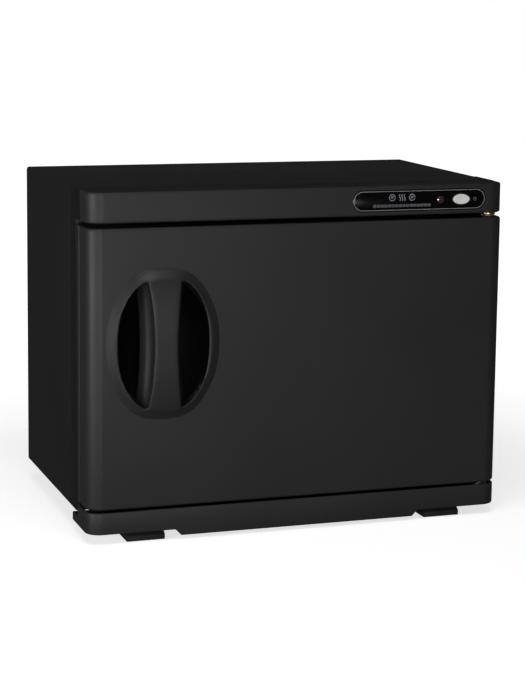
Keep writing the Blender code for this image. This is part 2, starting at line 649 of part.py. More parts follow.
def make_handle_bezel():
    centre = (HANDLE_X, high(HANDLE_HEIGHT))
    rings = []
    for share in (1.0, 0.94, 0.86, 0.74, 0.58, 0.4, 0.2):
        rise = GRIP_PROUD * (1 - share**2) * min(1, (1 - share) / 0.12 + 0.12)
        outline = ellipse(*centre, HANDLE_HALF[0] * share, HANDLE_HALF[1] * share, 40)
        rings.append((outline, back(-GAP - rise)))
    rings[-1] = (rings[-1][0], back(-GRIP_PROUD))
    bezel = loft("handle_bezel", "Y", rings)
    hub = ellipse(*centre, HANDLE_HOLE[0] - GAP, HANDLE_HOLE[1] - GAP, 40)
    join(bezel, prism("hub", "Y", hub, back(-2 * GAP), back(GRIP_DEPTH)))
    for side in (-1, 1):
        rings = [(pocket(side, 0), back(-2 * GRIP_PROUD)), (pocket(side, 0), back(-3 * MM)),
                 (pocket(side, GRIP_FLARE), back(GRIP_DEPTH - 5 * MM)),
                 (pocket(side, GRIP_FLARE), back(2 * GRIP_DEPTH))]
        cut(bezel, loft("pocket", "Y", rings))
    return finish(bezel, material("charcoal_plastic", (0.035, 0.035, 0.036), 0.42))


def make_handle_cup():
    centre = (HANDLE_X, high(HANDLE_HEIGHT))
    mouth = GRIP_DEPTH + GAP
    outer = [(1.0, mouth), (1.0, mouth + 10 * MM), (0.93, CUP_DEPTH - 6 * MM), (0.8, CUP_DEPTH)]
    half = (HANDLE_HOLE[0] - GAP, HANDLE_HOLE[1] - GAP)
    rings = [(ellipse(*centre, half[0] * s, half[1] * s), back(d)) for s, d in outer]
    cup = loft("handle_cup", "Y", rings)
    inside = (half[0] - CUP_WALL, half[1] - CUP_WALL)
    inner = [(1.0, mouth - CUP_WALL), (1.0, mouth + 9 * MM), (0.92, CUP_DEPTH - 8 * MM),
             (0.76, CUP_DEPTH - CUP_WALL)]
    rings = [(ellipse(*centre, inside[0] * s, inside[1] * s), back(d)) for s, d in inner]
    cut(cup, loft("inner", "Y", rings))
    return finish(cup, material("charcoal_plastic", (0.035, 0.035, 0.036), 0.42))


def make_strike_plate():
    half = (CATCH_SIZE[0] / 2, CATCH_SIZE[1] / 2)
    middle = high(DOOR_MIDDLE)
    plate = box("strike_plate", (-CATCH_X - half[0], -CATCH_X + half[0]),
                (back(DOOR_DEPTH - SHEET), back(DOOR_DEPTH)), (middle - half[1], middle + half[1]))
    return finish(plate, material("zinc_steel", (0.45, 0.46, 0.47), 0.4, 0.9), False)


def make_catch_magnet():
    half = (CATCH_SIZE[0] / 2, CATCH_SIZE[1] / 2)
    middle = high(DOOR_MIDDLE)
    magnet = box("catch_magnet", (-CATCH_X - half[0], -CATCH_X + half[0]),
                 (back(DOOR_DEPTH + 2 * GAP), back(DOOR_DEPTH + CATCH_DEPTH)),
                 (middle - half[1], middle + half[1]))
    return finish(magnet, material("ferrite", (0.08, 0.08, 0.085), 0.5, 0.3), False)


# ---- hinges ----


def upper_bracket_low():
    return high(CASE_HEIGHT - HEADER_HEIGHT) - UPPER_BRACKET_DROP - BRACKET_THICK


def lower_bracket_low():
    return high(LOWER_BRACKET_HEIGHT)


def make_bracket(name, low):
    nose = arc((HINGE_X, back(HINGE_DEPTH)), BRACKET_HALF, 180, 360, 10)
    tail = back(FRONT_DEPTH - BRACKET_ROOM)
    outline = nose + [(HINGE_X + BRACKET_HALF, tail), (HINGE_X - BRACKET_HALF, tail)]
    plate = prism(name, "Z", outline, low, low + BRACKET_THICK)
    hole = PIN_RADIUS + GAP
    through = [(hole, low - SHEET), (hole, low + 2 * BRACKET_THICK)]
    cut(plate, turned("hole", "Z", (HINGE_X, back(HINGE_DEPTH)), through))
    return finish(plate, material("gold_zinc", (0.62, 0.47, 0.2), 0.3, 1.0), False)


def make_hinges():
    centre = (HINGE_X, back(HINGE_DEPTH))
    steel = material("pin_steel", (0.6, 0.6, 0.6), 0.25, 1.0)
    nylon = material("nylon", (0.75, 0.73, 0.68), 0.5)
    upper, lower = upper_bracket_low(), lower_bracket_low()
    make_bracket("upper_hinge_bracket", upper)
    make_bracket("lower_hinge_bracket", lower)
    head = PIN_RADIUS + 1 * MM
    top, low = high(DOOR_TOP), high(DOOR_BOTTOM)
    over = upper + BRACKET_THICK
    tip = 0.4 * MM
    profile = [(PIN_RADIUS - tip, top - PIN_REACH), (PIN_RADIUS, top - PIN_REACH + tip),
               (PIN_RADIUS, over + GAP), (head, over + GAP), (head, over + 2 * GAP)]
    finish(turned("upper_hinge_pin", "Z", centre, profile), steel)
    shoulder = low - BUSH_FLANGE - 2 * GAP
    seat = lower + BRACKET_THICK + GAP
    profile = [(PIN_RADIUS, lower - GAP), (PIN_RADIUS, seat), (head, seat), (head, shoulder),
               (PIN_RADIUS, shoulder), (PIN_RADIUS, low + PIN_REACH - tip),
               (PIN_RADIUS - tip, low + PIN_REACH)]
    finish(turned("lower_hinge_pin", "Z", centre, profile), steel)
    sides = (("upper_hinge_bush", top, 1), ("lower_hinge_bush", low, -1))
    for name, wall, out in sides:
        flange = wall + out * (GAP + BUSH_FLANGE)
        seat = wall + out * GAP
        end = wall - out * (PIN_REACH + 2 * MM)
        wide = BUSH_RADIUS + BUSH_LAP
        profile = [(wide, flange), (wide, seat), (BUSH_RADIUS, seat), (BUSH_RADIUS, end)]
        bush = turned(name, "Z", centre, profile)
        bore = PIN_RADIUS + GAP
        cut(bush, turned("bore", "Z", centre, [(bore, flange + out * SHEET), (bore, end - out * SHEET)]))
        finish(bush, nylon)


# ---- chamber ----


def make_inner_chamber():
    front, rear = back(CHAMBER_FRONT), back(CHAMBER_BACK)
    chamber = prism("inner_chamber", "Y", chamber_outline(0), front, rear)
    join(chamber, prism("flange", "Y", chamber_outline(CHAMBER_FLANGE), front, front + SHEET))
    cut(chamber, prism("inside", "Y", chamber_outline(-SHEET), front - SHEET, rear - SHEET))
    for level in RIB_LEVELS:
        for side in (-1, 1):
            x = sorted((side * (CHAMBER_HALF - SHEET / 2), side * (CHAMBER_HALF - SHEET - RIB_DEPTH)))
            z = high(FLOOR_SPACE + level)
            rib = box("rib", x, (front + 16 * MM, rear - SHEET / 2), (z - RIB_HEIGHT, z))
            soften(rib, 1.5 * MM, 1, lambda e: all(abs(v.co.x) < CHAMBER_HALF - 5 * MM for v in e.verts))
            join(chamber, rib)
    return finish(chamber, material("aluminium", (0.75, 0.76, 0.77), 0.3, 1.0))


def make_chamber_insulation():
    front, rear = back(CHAMBER_FRONT + 2 * SHEET), back(CHAMBER_BACK + INSULATION_REAR)
    wool = prism("chamber_insulation", "Y", chamber_outline(INSULATION, 4), front, rear)
    room = RUNNING + HEATER_THICK
    inside = rounded(-CHAMBER_HALF - RUNNING, high(FLOOR_SPACE - room), CHAMBER_HALF + RUNNING,
                     high(CHAMBER_TOP + RUNNING), CHAMBER_CORNER + RUNNING, 4)
    cut(wool, prism("inside", "Y", inside, front - SHEET, back(CHAMBER_BACK) + room))
    for x, z, radius in sensor_places():
        bore = radius + 2 * MM
        cut(wool, turned("hole", "Y", (x, z), [(bore, back(CHAMBER_BACK)), (bore, rear + SHEET)], 14))
    bore = LEAD_BORE
    through = [(bore, back(CHAMBER_BACK)), (bore, rear + SHEET)]
    cut(wool, turned("lead", "Y", (REAR_LEAD_X, rear_lead_z()), through, 10))
    through = [(bore, high(0)), (bore, high(FLOOR_SPACE))]
    cut(wool, turned("lead", "Z", (FLOOR_LEAD_X, floor_lead_y()), through, 10))
    return finish(wool, material("glass_wool", (0.75, 0.7, 0.5), 1.0), False)


def sensor_places():
    level = high(CHAMBER_TOP - SENSOR_DROP)
    return ((SENSOR_SIDE, level, THERMOSTAT_RADIUS), (-SENSOR_SIDE, level, CUTOUT_RADIUS))


def rear_lead_z():
    return high(CHAMBER_TOP - 90 * MM)


def floor_lead_y():
    return back((CHAMBER_FRONT + CHAMBER_BACK) / 2 + 30 * MM)


def make_heaters():
    foil = material("heater_foil", (0.7, 0.66, 0.6), 0.35, 0.9)
    half = HEATER_SIZE[0] / 2
    middle = back((CHAMBER_FRONT + CHAMBER_BACK) / 2)
    deep = HEATER_SIZE[1] / 2
    under = high(FLOOR_SPACE) - GAP
    plan = rounded(-half, middle - deep, half, middle + deep, 6 * MM, 3)
    finish(prism("floor_heater", "Z", plan, under - HEATER_THICK, under), foil, False)
    behind = back(CHAMBER_BACK) + GAP
    top = high(CHAMBER_TOP - SENSOR_DROP - THERMOSTAT_RADIUS - SENSOR_ROOM)
    face = rounded(-half, high(FLOOR_SPACE + HEATER_RISE), half, top, 6 * MM, 3)
    finish(prism("rear_heater", "Y", face, behind, behind + HEATER_THICK), foil, False)


def make_sensors():
    behind = back(CHAMBER_BACK) + GAP
    for name, (x, z, radius) in zip(("thermostat", "thermal_cutout"), sensor_places()):
        neck = radius - 1.5 * MM
        step = behind + 5 * MM
        profile = [(radius, behind), (radius, step), (neck, step), (neck, behind + 10 * MM)]
        body = turned(name, "Y", (x, z), profile, 16)
        blade = 6 * MM if name == "thermostat" else 4 * MM
        for side in (-1, 1):
            x0 = x + side * blade * 0.5
            join(body, box("blade", (x0 - 0.4 * MM, x0 + 0.4 * MM), (behind + 9 * MM, behind + 13 * MM),
                           (z - 2 * MM, z + 2 * MM)))
        finish(body, material("sensor_body", (0.1, 0.09, 0.08), 0.4))


def make_rack(name, level):
    z = high(FLOOR_SPACE + level) + GAP + RACK_FRAME / 2
    half = CHAMBER_HALF - SHEET - RACK_INSET - RACK_FRAME / 2
    front = back(CHAMBER_FRONT + RACK_SET_BACK + RACK_FRAME / 2)
    rear = back(CHAMBER_BACK - SHEET - RACK_REAR_SPACE - RACK_FRAME / 2)
    corner = 12 * MM
    line = rounded(-half, front, half, rear, corner, 4)
    rack = wire_loop(name, line, z, RACK_FRAME / 2)
    for i in range(RACK_WIRES):
        x = (2 * i / (RACK_WIRES - 1) - 1) * (half - corner - 6 * MM)
        rod = ellipse(x, z, RACK_WIRE / 2, RACK_WIRE / 2, 6)
        join(rack, prism("rod", "Y", rod, front, rear))
    for share in (1 / 3, 2 / 3):
        y = front + (rear - front) * share
        stay = ellipse(y, z - (RACK_FRAME - RACK_WIRE) / 2, RACK_WIRE / 2, RACK_WIRE / 2, 6)
        join(rack, prism("stay", "X", stay, -half, half))
    return finish(rack, material("rack_steel", (0.7, 0.7, 0.7), 0.2, 1.0))


def wire_loop(name, line, z, radius):
    """A closed ring of round wire along a level outline."""
    sides = 8
    points, faces = [], []
    count = len(line)
    for i, (x, y) in enumerate(line):
        before, after = Vector(line[i - 1]), Vector(line[(i + 1) % count])
        along = (after - before).normalized()
        out = Vector((along.y, -along.x))
        for k in range(sides):
            turn = 2 * math.pi * k / sides
            points.append((x + out.x * radius * math.cos(turn), y + out.y * radius * math.cos(turn),
                           z + radius * math.sin(turn)))
    for i in range(count):
        for k in range(sides):
            a, b = i * sides, (i + 1) % count * sides
            n = (k + 1) % sides
            faces.append([a + k, a + n, b + n, b + k])
    return add(name, points, faces)


# ---- drip tray and feet ----


def make_drip_tray():
    top, ledge = high(TRAY_TOP), high(-TRAY_REAR_DROP)

    def skirt(grow):
        """The tray's lower outline, seen from the front, moved in by grow."""
        end, middle = high(grow - TRAY_END), high(grow - TRAY_MIDDLE)
        near, far = TRAY_MIDDLE_HALF - grow, TRAY_MIDDLE_HALF + TRAY_STEP - grow
        edge = HALF - grow
        return [(-edge, top + grow * 4), (-edge, end), (-far, end), (-near, middle),
                (near, middle), (far, end), (edge, end), (edge, top + grow * 4)]

    deep = PLASTIC
    tray = prism("drip_tray", "Y", skirt(0), back(0), back(TRAY_DEPTH))
    cut(tray, box("rear", (-HALF - deep, HALF + deep), (back(DOOR_DEPTH), back(TRAY_DEPTH + deep)),
                  (ledge, top + deep)))
    plan = front_plan(HALF, DOOR_CORNER, 0, TRAY_DEPTH + deep)
    combine(tray, prism("plan", "Z", plan, high(-2 * TRAY_MIDDLE), top + deep), "INTERSECT")
    tall_end = back(DOOR_DEPTH) - GAP
    soften(tray, 1.2 * MM, 2, lambda e: all(v.co.z > top - GAP and v.co.y < tall_end for v in e.verts))
    trough = prism("trough", "Y", skirt(TRAY_WALL), back(0), back(TRAY_DEPTH))
    room = front_plan(HALF - TRAY_WALL, DOOR_CORNER - TRAY_WALL, TRAY_WALL, TRAY_DEPTH - TRAY_WALL)
    combine(trough, prism("room", "Z", room, high(-2 * TRAY_MIDDLE), top + 2 * deep), "INTERSECT")
    cut(tray, trough)
    return finish(tray, material("charcoal_plastic", (0.035, 0.035, 0.036), 0.42))


def foot_screw_places():
    side = HALF - FOOT_SIDE
    front, rear = back(FRONT_DEPTH + 20 * MM), back(CASE_BACK - REAR_FOOT_INSET)
    return [(-side, front), (side, front), (-side, rear), (side, rear)]


def bore_foot(foot, x, y):
    """Sinks a screw hole from below, wide for the head and narrow above it."""
    wide, narrow = SCREW_HEAD + 2 * GAP, SCREW_RADIUS + GAP
    step = FOOT_HEIGHT - FOOT_GRIP
    profile = [(wide, -SHEET), (wide, step), (narrow, step), (narrow, 2 * FOOT_HEIGHT)]
    return cut(foot, turned("bore", "Z", (x, y), profile, 14))


def make_feet():
    rubber = material("foot_rubber", (0.015, 0.015, 0.015), 0.7)
    seat = high(SHEET)
    arm = high(-TRAY_END - GAP)
    near, far = FRONT_FOOT
    riser = FRONT_DEPTH + 3 * MM
    profile = [(back(near), 0), (back(far), 0), (back(far), seat), (back(riser), seat), (back(riser), arm),
               (back(near + 8 * MM), arm), (back(near + 1 * MM), FOOT_LIP), (back(near), FOOT_LIP - 1 * MM)]
    places = foot_screw_places()
    for name, (x, y) in zip(("front_foot_left", "front_foot_right"), places[:2]):
        foot = prism(name, "X", profile, x - FOOT_WIDTH / 2, x + FOOT_WIDTH / 2)
        finish(bore_foot(foot, x, y), rubber, False)
    for name, (x, y) in zip(("rear_foot_left", "rear_foot_right"), places[2:]):
        profile = [(REAR_FOOT_RADIUS - 3 * MM, 0), (REAR_FOOT_RADIUS - 2 * MM, 1 * MM),
                   (REAR_FOOT_RADIUS, FOOT_HEIGHT - 4 * MM), (REAR_FOOT_RADIUS, seat)]
        foot = turned(name, "Z", (x, y), profile, 24)
        finish(bore_foot(foot, x, y), rubber)


def screw(name, axis, centre, head, tip):
    """A pan-head screw from its head's underside to its tip, along the axis."""
    out = -math.copysign(1, tip - head)
    made = turned(name, axis, centre, [(SCREW_HEAD - 1.2 * MM, head + out * SCREW_HEAD_THICK),
                                       (SCREW_HEAD, head + out * SCREW_HEAD_THICK * 0.4), (SCREW_HEAD, head),
                                       (SCREW_RADIUS, head), (SCREW_RADIUS, tip)], 10)
    slot = 0.5 * MM
    face = head + out * SCREW_HEAD_THICK
    depth = sorted((face + out * SHEET, face - out * 0.9 * MM))
    for half in ((2.2 * MM, slot), (slot, 2.2 * MM)):
        u, v = centre
        cross = rectangle(u - half[0], v - half[1], u + half[0], v + half[1])
        cut(made, prism("slot", axis, cross, *depth))
    return finish(made, material("screw_steel", (0.55, 0.55, 0.56), 0.3, 1.0), False)


def make_screws():
    for i, place in enumerate(foot_screw_places()):
        screw(f"foot_screw_{i + 1}", "Z", place, FOOT_HEIGHT - FOOT_GRIP - GAP, high(7 * MM))
    for i, place in enumerate(rear_screw_places()):
        screw(f"rear_screw_{i + 1}", "Y", place, back(PANEL_OUT) + GAP, back(PANEL_OUT - 8 * MM))


# ---- mains parts ----


def make_power_inlet():
    x, z = rear_electric(INLET_SIDE)
    half = (INLET_BODY[0] / 2, INLET_BODY[1] / 2)
    face = back(PANEL_OUT)
    inner = back(PANEL_OUT - 24 * MM)
    inlet = box("power_inlet", (x - half[0], x + half[0]), (inner, face + GAP),
                (z - half[1], z + half[1]))
    rim = (half[0] + 3 * MM, half[1] + 3 * MM)
    flange = rounded(x - rim[0], z - rim[1], x + rim[0], z + rim[1], 2.5 * MM, 3)
    join(inlet, prism("flange", "Y", flange, face + GAP, face + 2.6 * MM))
    well = [(x - 12 * MM, z - 8 * MM), (x + 12 * MM, z - 8 * MM), (x + 12 * MM, z + 4 * MM),
            (x + 8 * MM, z + 8 * MM), (x - 8 * MM, z + 8 * MM), (x - 12 * MM, z + 4 * MM)]
    cut(inlet, prism("well", "Y", well, face - 16 * MM, face + 4 * MM))
    for side, rise in ((-7 * MM, -1.5 * MM), (0, 2.5 * MM), (7 * MM, -1.5 * MM)):
        join(inlet, box("blade", (x + side - 1 * MM, x + side + 1 * MM), (face - 17 * MM, face - 2 * MM),
                        (z + rise - 2 * MM, z + rise + 2 * MM)))
    return finish(inlet, material("black_plastic", (0.012, 0.012, 0.013), 0.45), False)


def make_fuse_holder():
    x, z = rear_electric(FUSE_SIDE)
    face = back(PANEL_OUT)
    rim, cap = FUSE_RADIUS + 2 * MM, FUSE_RADIUS - 0.6 * MM
    profile = [(3.5 * MM, face - 28 * MM), (FUSE_RADIUS, face - 24 * MM), (FUSE_RADIUS, face + GAP),
               (rim, face + GAP), (rim, face + 1.6 * MM), (cap, face + 1.6 * MM), (cap, face + 3.4 * MM)]
    holder = turned("fuse_holder", "Y", (x, z), profile)
    cut(holder, box("slot", (x - 4 * MM, x + 4 * MM), (face + 2.4 * MM, face + 5 * MM),
                    (z - 0.7 * MM, z + 0.7 * MM)))
    return finish(holder, material("black_plastic", (0.012, 0.012, 0.013), 0.45))


def terminal_box():
    """The terminal block's lowest and highest corners."""
    z = high(CASE_HEIGHT - REAR_ELECTRIC_DROP)
    rear = back(PANEL_OUT - SHEET - GAP)
    return (-30 * MM, rear - 16 * MM, z - 8 * MM), (30 * MM, rear, z + 8 * MM)


def make_terminal_block():
    low, top = terminal_box()
    block = box("terminal_block", (low[0], top[0]), (low[1], top[1]), (low[2], top[2]))
    for i in range(4):
        x = low[0] + (top[0] - low[0]) * (i + 0.5) / 4
        well = [(3 * MM, top[2] - 5 * MM), (3 * MM, top[2] + SHEET)]
        cut(block, turned("screw_well", "Z", (x, (low[1] + top[1]) / 2), well, 10))
    return finish(block, material("nylon", (0.75, 0.73, 0.68), 0.5), False)


def make_wires():
    near = GAP
    inlet_x, z = rear_electric(INLET_SIDE)
    fuse_x, _ = rear_electric(FUSE_SIDE)
    inlet_y = back(PANEL_OUT - 24 * MM) - near
    fuse_y = back(PANEL_OUT - 28 * MM) - near
    low, top = terminal_box()
    block_y = low[1] - near
    switch_x = HALF - SWITCH_SIDE
    switch_y = back(20 * MM) + near
    panel_z = high(PLATE_HEIGHT)
    aisle = (low[2] + top[2]) / 2
    brown = material("brown_wire", (0.2, 0.07, 0.03), 0.5)
    blue = material("blue_wire", (0.03, 0.12, 0.45), 0.5)
    green = material("green_wire", (0.15, 0.4, 0.05), 0.5)
    tan = material("heater_wire", (0.65, 0.6, 0.5), 0.6)
    tube("live_inlet_wire", [(inlet_x + 7 * MM, inlet_y, z), (inlet_x + 9 * MM, inlet_y - 12 * MM, z),
                             (inlet_x + 22 * MM, inlet_y - 22 * MM, z),
                             (fuse_x - 3 * MM, fuse_y - 14 * MM, z),
                             (fuse_x, fuse_y - 6 * MM, z), (fuse_x, fuse_y, z)], WIRE_RADIUS, brown)
    tube("neutral_wire", [(inlet_x - 7 * MM, inlet_y, z), (inlet_x - 5 * MM, inlet_y - 20 * MM, z - 2 * MM),
                          (inlet_x + 20 * MM, inlet_y - 44 * MM, z - 4 * MM),
                          (fuse_x + 30 * MM, inlet_y - 46 * MM, z - 2 * MM),
                          (low[0] + 5 * MM, block_y - 20 * MM, aisle),
                          (low[0] + 7.5 * MM, block_y - 7 * MM, aisle),
                          (low[0] + 7.5 * MM, block_y, aisle)], WIRE_RADIUS, blue)
    tube("earth_wire", [(inlet_x, inlet_y, z - 4 * MM), (inlet_x - 2 * MM, inlet_y - 10 * MM, z - 6 * MM),
                        (inlet_x - 20 * MM, inlet_y - 12 * MM, z - 8 * MM),
                        (inlet_x - 33 * MM, inlet_y - 2 * MM, z - 9 * MM),
                        (inlet_x - 37 * MM, inlet_y + 12 * MM, z - 9 * MM),
                        (inlet_x - 37 * MM, back(PANEL_OUT - 2 * SHEET - GAP) - near, z - 9 * MM)],
         WIRE_RADIUS, green)
    middle_y = back(FRONT_DEPTH + 60 * MM)
    tube("live_switch_wire", [(low[0] + 22.5 * MM, block_y, aisle),
                              (low[0] + 22.5 * MM, block_y - 8 * MM, aisle),
                              (0, block_y - 40 * MM, aisle - 4 * MM), (60 * MM, middle_y, aisle - 8 * MM),
                              (130 * MM, back(62 * MM), panel_z - 4 * MM),
                              (switch_x - 8 * MM, back(36 * MM), panel_z),
                              (switch_x - 6 * MM, back(27 * MM), panel_z),
                              (switch_x - 6 * MM, switch_y, panel_z)],
         WIRE_RADIUS, brown)
    tube("switched_wire", [(low[0] + 37.5 * MM, block_y, aisle),
                           (low[0] + 37.5 * MM, block_y - 8 * MM, aisle),
                           (20 * MM, block_y - 40 * MM, aisle - 4 * MM), (80 * MM, middle_y, aisle - 8 * MM),
                           (150 * MM, back(66 * MM), panel_z - 4 * MM),
                           (switch_x + 4 * MM, back(40 * MM), panel_z),
                           (switch_x + 6 * MM, back(28 * MM), panel_z),
                           (switch_x + 6 * MM, switch_y, panel_z)],
         WIRE_RADIUS, brown)
    behind = back((CHAMBER_BACK + INSULATION_REAR + PANEL_OUT - SHEET) / 2)
    heater_y = back(CHAMBER_BACK) + GAP + HEATER_THICK + near
    under = low[2] - near
    x, z1 = REAR_LEAD_X, rear_lead_z()
    lead_y = top[1] - 4 * MM
    tube("rear_heater_wire", [(x, lead_y, under), (x, lead_y, under - 3 * MM),
                              (x, behind, under - 10 * MM), (x, behind, (z1 + under) / 2),
                              (x, behind, z1 + 20 * MM),
                              (x, behind - 1 * MM, z1 + 2 * MM), (x, heater_y + 2 * MM, z1),
                              (x, heater_y, z1)], WIRE_RADIUS, tan)
    x, y1 = FLOOR_LEAD_X, floor_lead_y()
    x0 = top[0] - 7.5 * MM
    low_z = high(FLOOR_SPACE - INSULATION) - 5 * MM
    heater_z = high(FLOOR_SPACE) - GAP - HEATER_THICK - near
    tube("floor_heater_wire", [(x0, lead_y, under), (x0, lead_y, under - 3 * MM),
                               (x0, behind, under - 10 * MM), (x, behind, high(CASE_HEIGHT * 0.6)),
                               (x, behind, high(CASE_HEIGHT * 0.3)),
                               (x, behind, low_z + 9 * MM), (x, behind - 0.5 * MM, low_z + 3 * MM),
                               (x, behind - 6 * MM, low_z), (x, y1 + 30 * MM, low_z), (x, y1 + 6 * MM, low_z),
                               (x, y1, low_z + 4 * MM), (x, y1, heater_z)], WIRE_RADIUS, tan)


def clear_scene():
    for thing in list(bpy.data.objects):
        bpy.data.objects.remove(thing)


clear_scene()
make_outer_case()
make_rear_panel()
make_base_pan()
make_front_frame()
make_header_fascia()
make_nameplate()
make_switch_housing()
make_power_rocker()
make_indicator()
make_door_shell()
make_door_liner()
make_door_insulation()
make_door_gasket()
make_handle_bezel()
make_handle_cup()
make_strike_plate()
make_catch_magnet()
make_hinges()
make_inner_chamber()
make_chamber_insulation()
make_heaters()
make_sensors()
make_rack("lower_rack", RIB_LEVELS[0])
make_rack("upper_rack", RIB_LEVELS[1])
make_drip_tray()
make_feet()
make_screws()
make_power_inlet()
make_fuse_holder()
make_terminal_block()
make_wires()
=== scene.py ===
import math

import bmesh
import bpy
from mathutils import Matrix, Vector


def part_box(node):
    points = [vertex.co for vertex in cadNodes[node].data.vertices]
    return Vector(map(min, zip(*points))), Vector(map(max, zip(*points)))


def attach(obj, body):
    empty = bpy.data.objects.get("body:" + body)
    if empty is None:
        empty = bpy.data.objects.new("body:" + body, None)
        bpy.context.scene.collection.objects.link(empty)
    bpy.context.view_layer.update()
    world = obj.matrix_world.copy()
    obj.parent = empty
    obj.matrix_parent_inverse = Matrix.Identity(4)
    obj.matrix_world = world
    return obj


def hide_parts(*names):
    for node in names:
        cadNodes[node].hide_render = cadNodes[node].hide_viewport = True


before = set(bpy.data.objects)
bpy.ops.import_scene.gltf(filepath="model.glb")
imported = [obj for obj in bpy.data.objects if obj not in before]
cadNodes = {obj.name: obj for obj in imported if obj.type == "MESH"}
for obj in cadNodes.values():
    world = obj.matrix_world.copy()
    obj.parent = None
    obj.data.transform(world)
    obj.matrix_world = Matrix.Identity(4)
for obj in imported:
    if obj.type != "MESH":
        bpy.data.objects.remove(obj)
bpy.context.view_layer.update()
mm = 0.001
print("frame loaded:", len(cadNodes), "nodes")

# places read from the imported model
caseLow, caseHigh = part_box("outer_case")
doorLow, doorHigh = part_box("door_shell")
fasciaLow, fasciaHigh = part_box("header_fascia")
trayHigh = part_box("drip_tray")[1]
plateLow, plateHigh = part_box("nameplate")
frontY = doorLow.y
halfWide = caseHigh.x
panelZ = (plateLow.z + plateHigh.z) / 2


def newGroup(name, inputs, outputs):
    group = bpy.data.node_groups.new(name, "ShaderNodeTree")
    for label, kind, value in inputs:
        socket = group.interface.new_socket(label, in_out="INPUT", socket_type=kind)
        socket.default_value = value
    for label, kind in outputs:
        group.interface.new_socket(label, in_out="OUTPUT", socket_type=kind)
    group.nodes.new("NodeGroupInput")
    group.nodes.new("NodeGroupOutput")
    return group


# short ways to add and join nodes in one tree
class Wiring:
    def __init__(self, tree):
        self.tree = tree
        self.column = 0

    def node(self, kind, **settings):
        made = self.tree.nodes.new(kind)
        made.location = (self.column * 40 - 900, (self.column % 7) * -170)
        self.column += 1
        for name, value in settings.items():
            setattr(made, name, value)
        return made

    def join(self, source, target):
        self.tree.links.new(source, target)

    def feed(self, target, value):
        if isinstance(value, bpy.types.NodeSocket):
            self.join(value, target)
        else:
            target.default_value = value

    def math(self, operation, first, second=0.0, clamp=False):
        made = self.node("ShaderNodeMath", operation=operation, use_clamp=clamp)
        self.feed(made.inputs[0], first)
        self.feed(made.inputs[1], second)
        return made.outputs[0]

    def spread(self, value, low, high, toLow, toHigh):
        made = self.node("ShaderNodeMapRange")
        for socket, given in zip(made.inputs, (value, low, high, toLow, toHigh)):
            self.feed(socket, given)
        return made.outputs[0]

    def mixColour(self, share, first, second, blend="MIX"):
        made = self.node("ShaderNodeMix", data_type="RGBA", blend_type=blend)
        self.feed(made.inputs[0], share)
        self.feed(made.inputs[6], first)
        self.feed(made.inputs[7], second)
        return made.outputs[2]

    def noise(self, place, scale, detail=2.0, roughness=0.5):
        made = self.node("ShaderNodeTexNoise")
        self.feed(made.inputs["Vector"], place)
        self.feed(made.inputs["Scale"], scale)
        made.inputs["Detail"].default_value = detail
        made.inputs["Roughness"].default_value = roughness
        return made.outputs["Fac"]

    def cells(self, place, scale, output="Distance"):
        made = self.node("ShaderNodeTexVoronoi")
        self.feed(made.inputs["Vector"], place)
        self.feed(made.inputs["Scale"], scale)
        return made.outputs[output]

    def place(self, stretch=None):
        source = self.node("ShaderNodeTexCoord").outputs["Object"]
        if stretch is None:
            return source
        made = self.node("ShaderNodeMapping")
        self.join(source, made.inputs["Vector"])
        made.inputs["Scale"].default_value = stretch
        return made.outputs["Vector"]


# a moulded or sprayed grain: fine cells over a slow mottle. Scales are in cells per metre
def grainGroup():
    group = newGroup("surfaceGrain",
                     [("Cells", "NodeSocketFloat", 1800.0), ("Mottle", "NodeSocketFloat", 9.0),
                      ("Roundness", "NodeSocketFloat", 0.5)],
                     [("Height", "NodeSocketFloat"), ("Mottle", "NodeSocketFloat")])
    wiring = Wiring(group)
    source, sink = group.nodes["Group Input"], group.nodes["Group Output"]
    place = wiring.place()
    cells = wiring.cells(place, source.outputs["Cells"])
    fine = wiring.noise(place, source.outputs["Cells"], 3.0, 0.6)
    bumps = wiring.math("MULTIPLY", cells, source.outputs["Roundness"])
    wiring.join(wiring.math("ADD", bumps, fine), sink.inputs["Height"])
    wiring.join(wiring.noise(place, source.outputs["Mottle"], 4.0, 0.55), sink.inputs["Mottle"])
    return group


# painted highlight along edges, in patches: edges are painted brighter where light would catch them. The
# bevelled normal leaves the true one only near an edge
def edgeHighlightGroup():
    group = newGroup("paintedEdgeHighlight",
                     [("Radius", "NodeSocketFloat", 0.0012), ("Patches", "NodeSocketFloat", 60.0),
                      ("Amount", "NodeSocketFloat", 1.0)],
                     [("Mask", "NodeSocketFloat")])
    wiring = Wiring(group)
    source, sink = group.nodes["Group Input"], group.nodes["Group Output"]
    soft = wiring.node("ShaderNodeBevel", samples=4)
    wiring.join(source.outputs["Radius"], soft.inputs["Radius"])
    flat = wiring.node("ShaderNodeNewGeometry")
    facing = wiring.node("ShaderNodeVectorMath", operation="DOT_PRODUCT")
    wiring.join(soft.outputs["Normal"], facing.inputs[0])
    wiring.join(flat.outputs["True Normal"], facing.inputs[1])
    edge = wiring.spread(facing.outputs["Value"], 0.99, 0.8, 0.0, 1.0)
    patches = wiring.noise(wiring.place(), source.outputs["Patches"], 5.0, 0.6)
    patchy = wiring.math("MULTIPLY", edge, wiring.spread(patches, 0.4, 0.65, 0.15, 1.0))
    wiring.join(wiring.math("MULTIPLY", patchy, source.outputs["Amount"], True), sink.inputs["Mask"])
    return group


